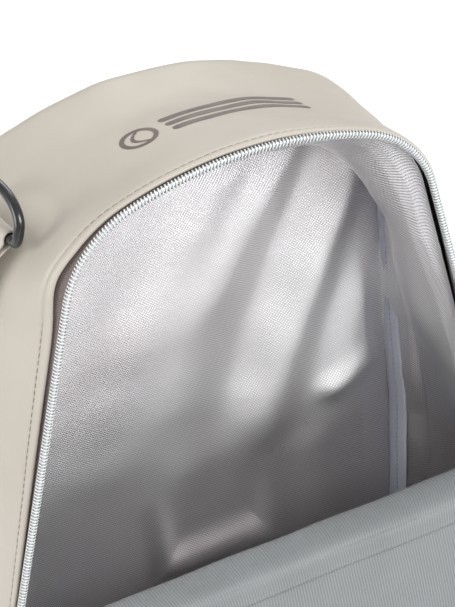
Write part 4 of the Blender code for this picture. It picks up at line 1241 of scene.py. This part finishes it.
def make_back():
    """The back lid's cloth panel and its pads, and the fixed strip below."""
    panel_loop = clipped_ring(0.0002, BACK_LOW_Z + 0.0004, 1.0)
    f, b = PANEL_FRONT_Y + 0.0002, PANEL_BACK_Y - 0.0002
    profile = [(0.02, f + 0.0002), (0.5, f), (0.97, f), (0.992, f + 0.0006), (1.0, (f + b) / 2),
               (0.992, b - 0.0006),
               (0.97, b), (0.7, b), (0.4, b), (0.02, b)]
    cloth = pillow("back_panel_cloth", panel_loop, np.array((0.0, 0.22)), profile, FABRIC_MAT)
    keep(cloth, "back_lid", "taupe_leather", "back_panel")
    edge = stand(closed_resample(np.stack([panel_loop[:, 0], panel_loop[:, 0] * 0, panel_loop[:, 1]],
                                          axis=1), 300)[:, [0, 2]]
                 * (0.985, 1.0), b + 0.0001)
    keep(stitches("back_panel_stitching", edge, (0.0, 1.0, 0.0), THREAD_MAT), "back_lid", "taupe_leather")
    low_loop = clipped_ring(0.0002, 0.0, BACK_LOW_Z - 0.0024)
    wall = [(0.02, 0.0606), (0.96, 0.0606), (1.0, 0.0616), (1.0, 0.0688), (0.97, 0.0698), (0.02, 0.0698)]
    strip = pillow("back_lower_cloth", low_loop, np.array((0.0, 0.026)), wall, LEATHER_MAT)
    keep(strip, "shell", "taupe_leather", "back_lower_wall")
    for name, x, z, width, height in (("back_pad_left", -0.058, 0.296, 0.085, 0.156),
                                      ("back_pad_right", 0.058, 0.296, 0.085, 0.156),
                                      ("lumbar_pad", 0.0, 0.130, 0.166, 0.120)):
        make_pad(name, x, z, width, height)


def make_pad(name, x, z, width, height):
    """A spacer-mesh cushion with sewn channels and a bound edge."""
    loop = rounded_loop(width, height, 0.022, x, z, 120)
    y0 = PANEL_BACK_Y + 0.0004
    crown = 0.0098
    shares = np.linspace(1.0, 0.02, 22)
    profile = [(0.02, y0), (0.9, y0), (0.985, y0 + 0.0004), (1.0, y0 + 0.0016)]
    profile += [(share, y0 + 0.0016 + (crown - 0.0016) * (1.0 - share ** 5) ** 0.6) for share in shares[1:]]

    def relief(row, share):
        if row[0, 1] < y0 + 0.0020:
            return 0.0
        channel = 0.0
        for k in (-1, 1):
            line = z + k * height * 0.17 - 0.10 * (row[:, 0] - x) * (1 if x < 0 else -1 if x > 0 else 0)
            channel = channel + np.exp(-((row[:, 2] - line) / 0.0024) ** 2)
        return -0.0045 * channel * (1.0 - share ** 6) + 0.0004 * ripple(row, 45.0, 30)

    pad = pillow(name + "_cushion", loop, np.array((x, z)), profile, MESH_MAT, relief)
    keep(pad, "back_lid", "spacer_mesh", name, fill=0.7)
    binding = swept(name + "_binding", stand(loop, y0 + 0.0014), circle(0.0014, 8, 0.8), LEATHER_MAT,
                    closed=True)
    keep(binding, "back_lid", "taupe_leather")


# ---------------------------------------------------------------- straps
STRAP_ROUTE = ((0.046, 0.016, 0.392), (0.054, 0.024, 0.358), (0.070, 0.036, 0.312), (0.086, 0.044, 0.262),
               (0.098, 0.044, 0.212), (0.104, 0.036, 0.165))
STRAP_TAPER = (0.80, 0.92, 1.0, 1.0, 0.95, 0.80)
STRAP_WIDTH, STRAP_THICK = 0.062, 0.011
STRAP_TOP_Z = 0.392
ANCHOR_X, ANCHOR_Z = 0.106, 0.078


def soft_strap(name, path, widths, thickness, mat):
    """A padded strap: a section with pinched edges carried along the path, its ends closed."""
    side, lift = frames_along(path, (0.0, 1.0, 0.0))[1:]
    angles = np.linspace(0, 2 * math.pi, 33)[:-1]
    u = np.sign(np.cos(angles)) * np.abs(np.cos(angles)) ** 0.75
    v = np.sin(angles) * np.abs(np.sin(angles)) ** 0.15
    rows = []
    m = len(path)
    for k in range(m):
        end = min(1.0, (min(k, m - 1 - k) + 0.6) / 3.0) ** 0.5
        quilt = (0.93 + 0.07 * math.cos(2 * math.pi * k / 9.0))
        rows.append(path[k] + np.outer(u * widths[k] / 2,
                                       side[k]) + np.outer(v * thickness / 2 * end * quilt, lift[k]))
    rows = np.array(rows)
    n = len(angles)
    faces = [(i * n + k, i * n + (k + 1) % n, (i + 1) * n + (k + 1) % n, (i + 1) * n + k)
             for i in range(m - 1) for k in range(n)]
    faces += [tuple(range(n))[::-1], tuple(range((m - 1) * n, m * n))]
    return add_object(name, rows.reshape(-1, 3), faces, mat), side


def make_straps():
    """Shoulder straps with bound edges, lower webbings, anchors, the yoke and the handle."""
    back = PANEL_BACK_Y
    for sign, suffix in ((-1, "left"), (1, "right")):
        route = np.array([(sign * x, back + y, z) for x, y, z in STRAP_ROUTE])
        path = smooth_path(route, 44)
        widths = STRAP_WIDTH * np.interp(np.linspace(0, 5, 44), range(6), STRAP_TAPER)
        strap, side = soft_strap("shoulder_strap_%s_pad" % suffix, path, widths, STRAP_THICK, FABRIC_MAT)
        keep(strap, "back_lid", "spacer_mesh", "shoulder_strap_" + suffix, fill=0.7)
        for edge in (-1, 1):
            line = path + side * (edge * (widths / 2 - 0.0007))[:, None]
            tape = swept("strap_binding_%s_%d" % (suffix, edge + 1), line, circle(0.0021, 8, 0.8),
                         LEATHER_MAT)
            keep(tape, "back_lid", "taupe_leather")
        end = Vector(STRAP_ROUTE[-1]) + Vector((0.0, back, 0.0))
        foot = Vector((ANCHOR_X, back + 0.0115, ANCHOR_Z + 0.012))
        down = (foot - end).normalized()
        begin = end + down * 0.0264
        web = np.array([(sign * p.x, p.y, p.z) for p in (begin,
                                                         begin.lerp(foot,
                                                                    0.5) + Vector((0, 0.0012, 0)), foot)])
        web = smooth_path(web, 30)
        ribbon = swept("strap_webbing_%s_tape" % suffix, web, rounded_section(0.024, 0.0016, 0.0006, 2),
                       WEBBING_MAT)
        keep(ribbon, "back_lid", "webbing_taupe", "strap_webbing_" + suffix)
        anchor = np.array([(sign * (ANCHOR_X - 0.004), back + 0.0022, ANCHOR_Z - 0.018),
                           (sign * (ANCHOR_X - 0.002), back + 0.0045, ANCHOR_Z), (sign * foot.x, foot.y,
                                                                                  foot.z)])
        anchor = smooth_path(anchor, 16)
        tab = swept("strap_anchor_%s_tab" % suffix, anchor, rounded_section(0.033, 0.0030, 0.0012),
                    LEATHER_MAT)
        keep(tab, "back_lid", "taupe_leather", "strap_anchor_" + suffix)
    make_yoke()


def make_yoke():
    """The leather patch at the top of the back, and the carry handle sewn to it."""
    back = PANEL_BACK_Y
    loop = rounded_loop(0.150, 0.034, 0.010, 0.0, STRAP_TOP_Z + 0.004)
    y0, y1 = back + 0.0004, back + 0.0034
    profile = [(0.02, y0), (0.98, y0), (1.0, y0 + 0.0006), (1.0, y1 - 0.0006), (0.985, y1),
               (0.6, y1 + 0.0001), (0.02, y1)]
    patch = pillow("strap_yoke_patch", loop, np.array((0.0, STRAP_TOP_Z + 0.004)), profile, LEATHER_MAT)
    keep(patch, "back_lid", "taupe_leather", "strap_yoke")
    sewn = stand(rounded_loop(0.144, 0.028, 0.008, 0.0, STRAP_TOP_Z + 0.004), y1 + 0.0001)
    keep(stitches("strap_yoke_stitching", sewn, (0.0, 1.0, 0.0), THREAD_MAT), "back_lid", "taupe_leather")
    foot_z = STRAP_TOP_Z + 0.006
    route = [(0.042, back + 0.0068, foot_z - 0.0045)]
    for k in range(11):
        a = math.pi * k / 10
        route.append((0.042 * math.cos(a), back + 0.0150 - 0.0020 * (1 - math.sin(a)),
                      foot_z + 0.024 * max(math.sin(a), 0.0) ** 0.8))
    route.append((-0.042, back + 0.0068, foot_z - 0.0045))
    path = smooth_path(route, 60)
    swell = 0.62 + 0.38 * np.sin(np.linspace(0, math.pi, 60))
    grip = swept("carry_handle_grip", path, rounded_section(0.0068, 0.0112, 0.0030, 3), WEBBING_MAT,
                 scale=swell)
    keep(grip, "back_lid", "webbing_taupe", "carry_handle")


# ---------------------------------------------------------------- plain carried-over nodes
CARRIED = {
    "base_board": BOARD_MAT, "door_foam": FOAM_MAT,
    "rear_zip_tape_gusset": TAPE_OBJECT_MAT, "pocket_slider": BLACK_MAT, "rear_slider_left": BLACK_MAT,
    "rear_slider_right": BLACK_MAT, "strap_adjuster_left": PLASTIC_MAT, "strap_adjuster_right": PLASTIC_MAT,
}


def dress_carried():
    """Give each CAD node that stays its own finish."""
    for name, mat in CARRIED.items():
        mesh = frame["nodes"][name].data
        mesh.materials.clear()
        mesh.materials.append(mat)


# ---------------------------------------------------------------- stage, light and camera
VIEW_AZIMUTH = math.radians(25.5)      # the camera stands to the bag's left of front
VIEW_ELEVATION = math.radians(35.0)
VIEW_ROLL = math.radians(-3.5)
VIEW_DISTANCE = 0.910
VIEW_TARGET = Vector((-0.017, RIM_Y, 0.401))
VIEW_LENS = 115.8


def make_camera():
    """A long lens close above the open front, looking down into the compartment."""
    a, e = VIEW_AZIMUTH, VIEW_ELEVATION
    back = Vector((-math.sin(a) * math.cos(e), -math.cos(a) * math.cos(e), math.sin(e)))
    right = Vector((math.cos(a), -math.sin(a), 0.0))
    up = back.cross(right)
    right, up = (right * math.cos(VIEW_ROLL) + up * math.sin(VIEW_ROLL),
                 up * math.cos(VIEW_ROLL) - right * math.sin(VIEW_ROLL))
    data = bpy.data.cameras.new("camera")
    data.lens = VIEW_LENS
    data.sensor_width = 36.0
    camera = bpy.data.objects.new("camera", data)
    camera.matrix_world = (Matrix.Translation(VIEW_TARGET + back * VIEW_DISTANCE)
                           @ Matrix((right, up, back)).transposed().to_4x4())
    bpy.context.scene.collection.objects.link(camera)
    bpy.context.scene.camera = camera


def area_light(name, place, target, size, power):
    """A softbox at place that faces target."""
    data = bpy.data.lights.new(name, "AREA")
    data.shape = "RECTANGLE"
    data.size, data.size_y = size
    data.energy = power
    light = bpy.data.objects.new(name, data)
    direction = Vector(target) - Vector(place)
    light.matrix_world = Matrix.Translation(place) @ direction.to_track_quat("-Z", "Y").to_matrix().to_4x4()
    bpy.context.scene.collection.objects.link(light)


def make_stage():
    """A pale floor, an even bright surround and soft studio lights."""
    floor = grid("floor", [[(x, y, 0.0) for x in (-4.0, 4.0)] for y in (-4.0, 4.0)], floor_material())
    world = bpy.data.worlds.new("studio")
    world.use_nodes = True
    world.node_tree.nodes["Background"].inputs["Color"].default_value = (1.0, 1.0, 1.0, 1.0)
    world.node_tree.nodes["Background"].inputs["Strength"].default_value = 0.62
    bpy.context.scene.world = world
    bpy.context.scene.view_settings.view_transform = "Standard"
    area_light("key_softbox", (0.15, -1.4, 1.7), (0.0, 0.0, 0.3), (1.0, 1.0), 15.0)
    area_light("top_softbox", (0.3, 0.6, 2.2), (0.0, 0.0, 0.3), (1.6, 1.2), 1.0)
    area_light("side_softbox", (-1.7, 0.3, 0.8), (0.0, 0.0, 0.3), (1.0, 1.0), 18.0)
    area_light("front_softbox", (0.45, -1.2, 1.3), (0.0, -0.03, 0.35), (0.8, 0.8), 17.0)
    area_light("floor_softbox", (0.9, 1.5, 1.5), (0.3, 1.2, 0.0), (1.2, 1.2), 14.0)


def floor_material():
    """Seamless white paper."""
    s = Shader("paper", 0.9)
    s.colour(s.ramp(s.noise(3.0, 2.0), 0.3, 0.7, (0.93, 0.93, 0.93), (0.95, 0.95, 0.95)))
    return s.mat


make_camera()
make_stage()
make_shell()
make_lining()
make_front_zip()
make_door()
make_lower_panels()
make_mark()
make_sliders()
make_d_ring()
make_rear_zip()
make_back()
make_straps()
dress_carried()
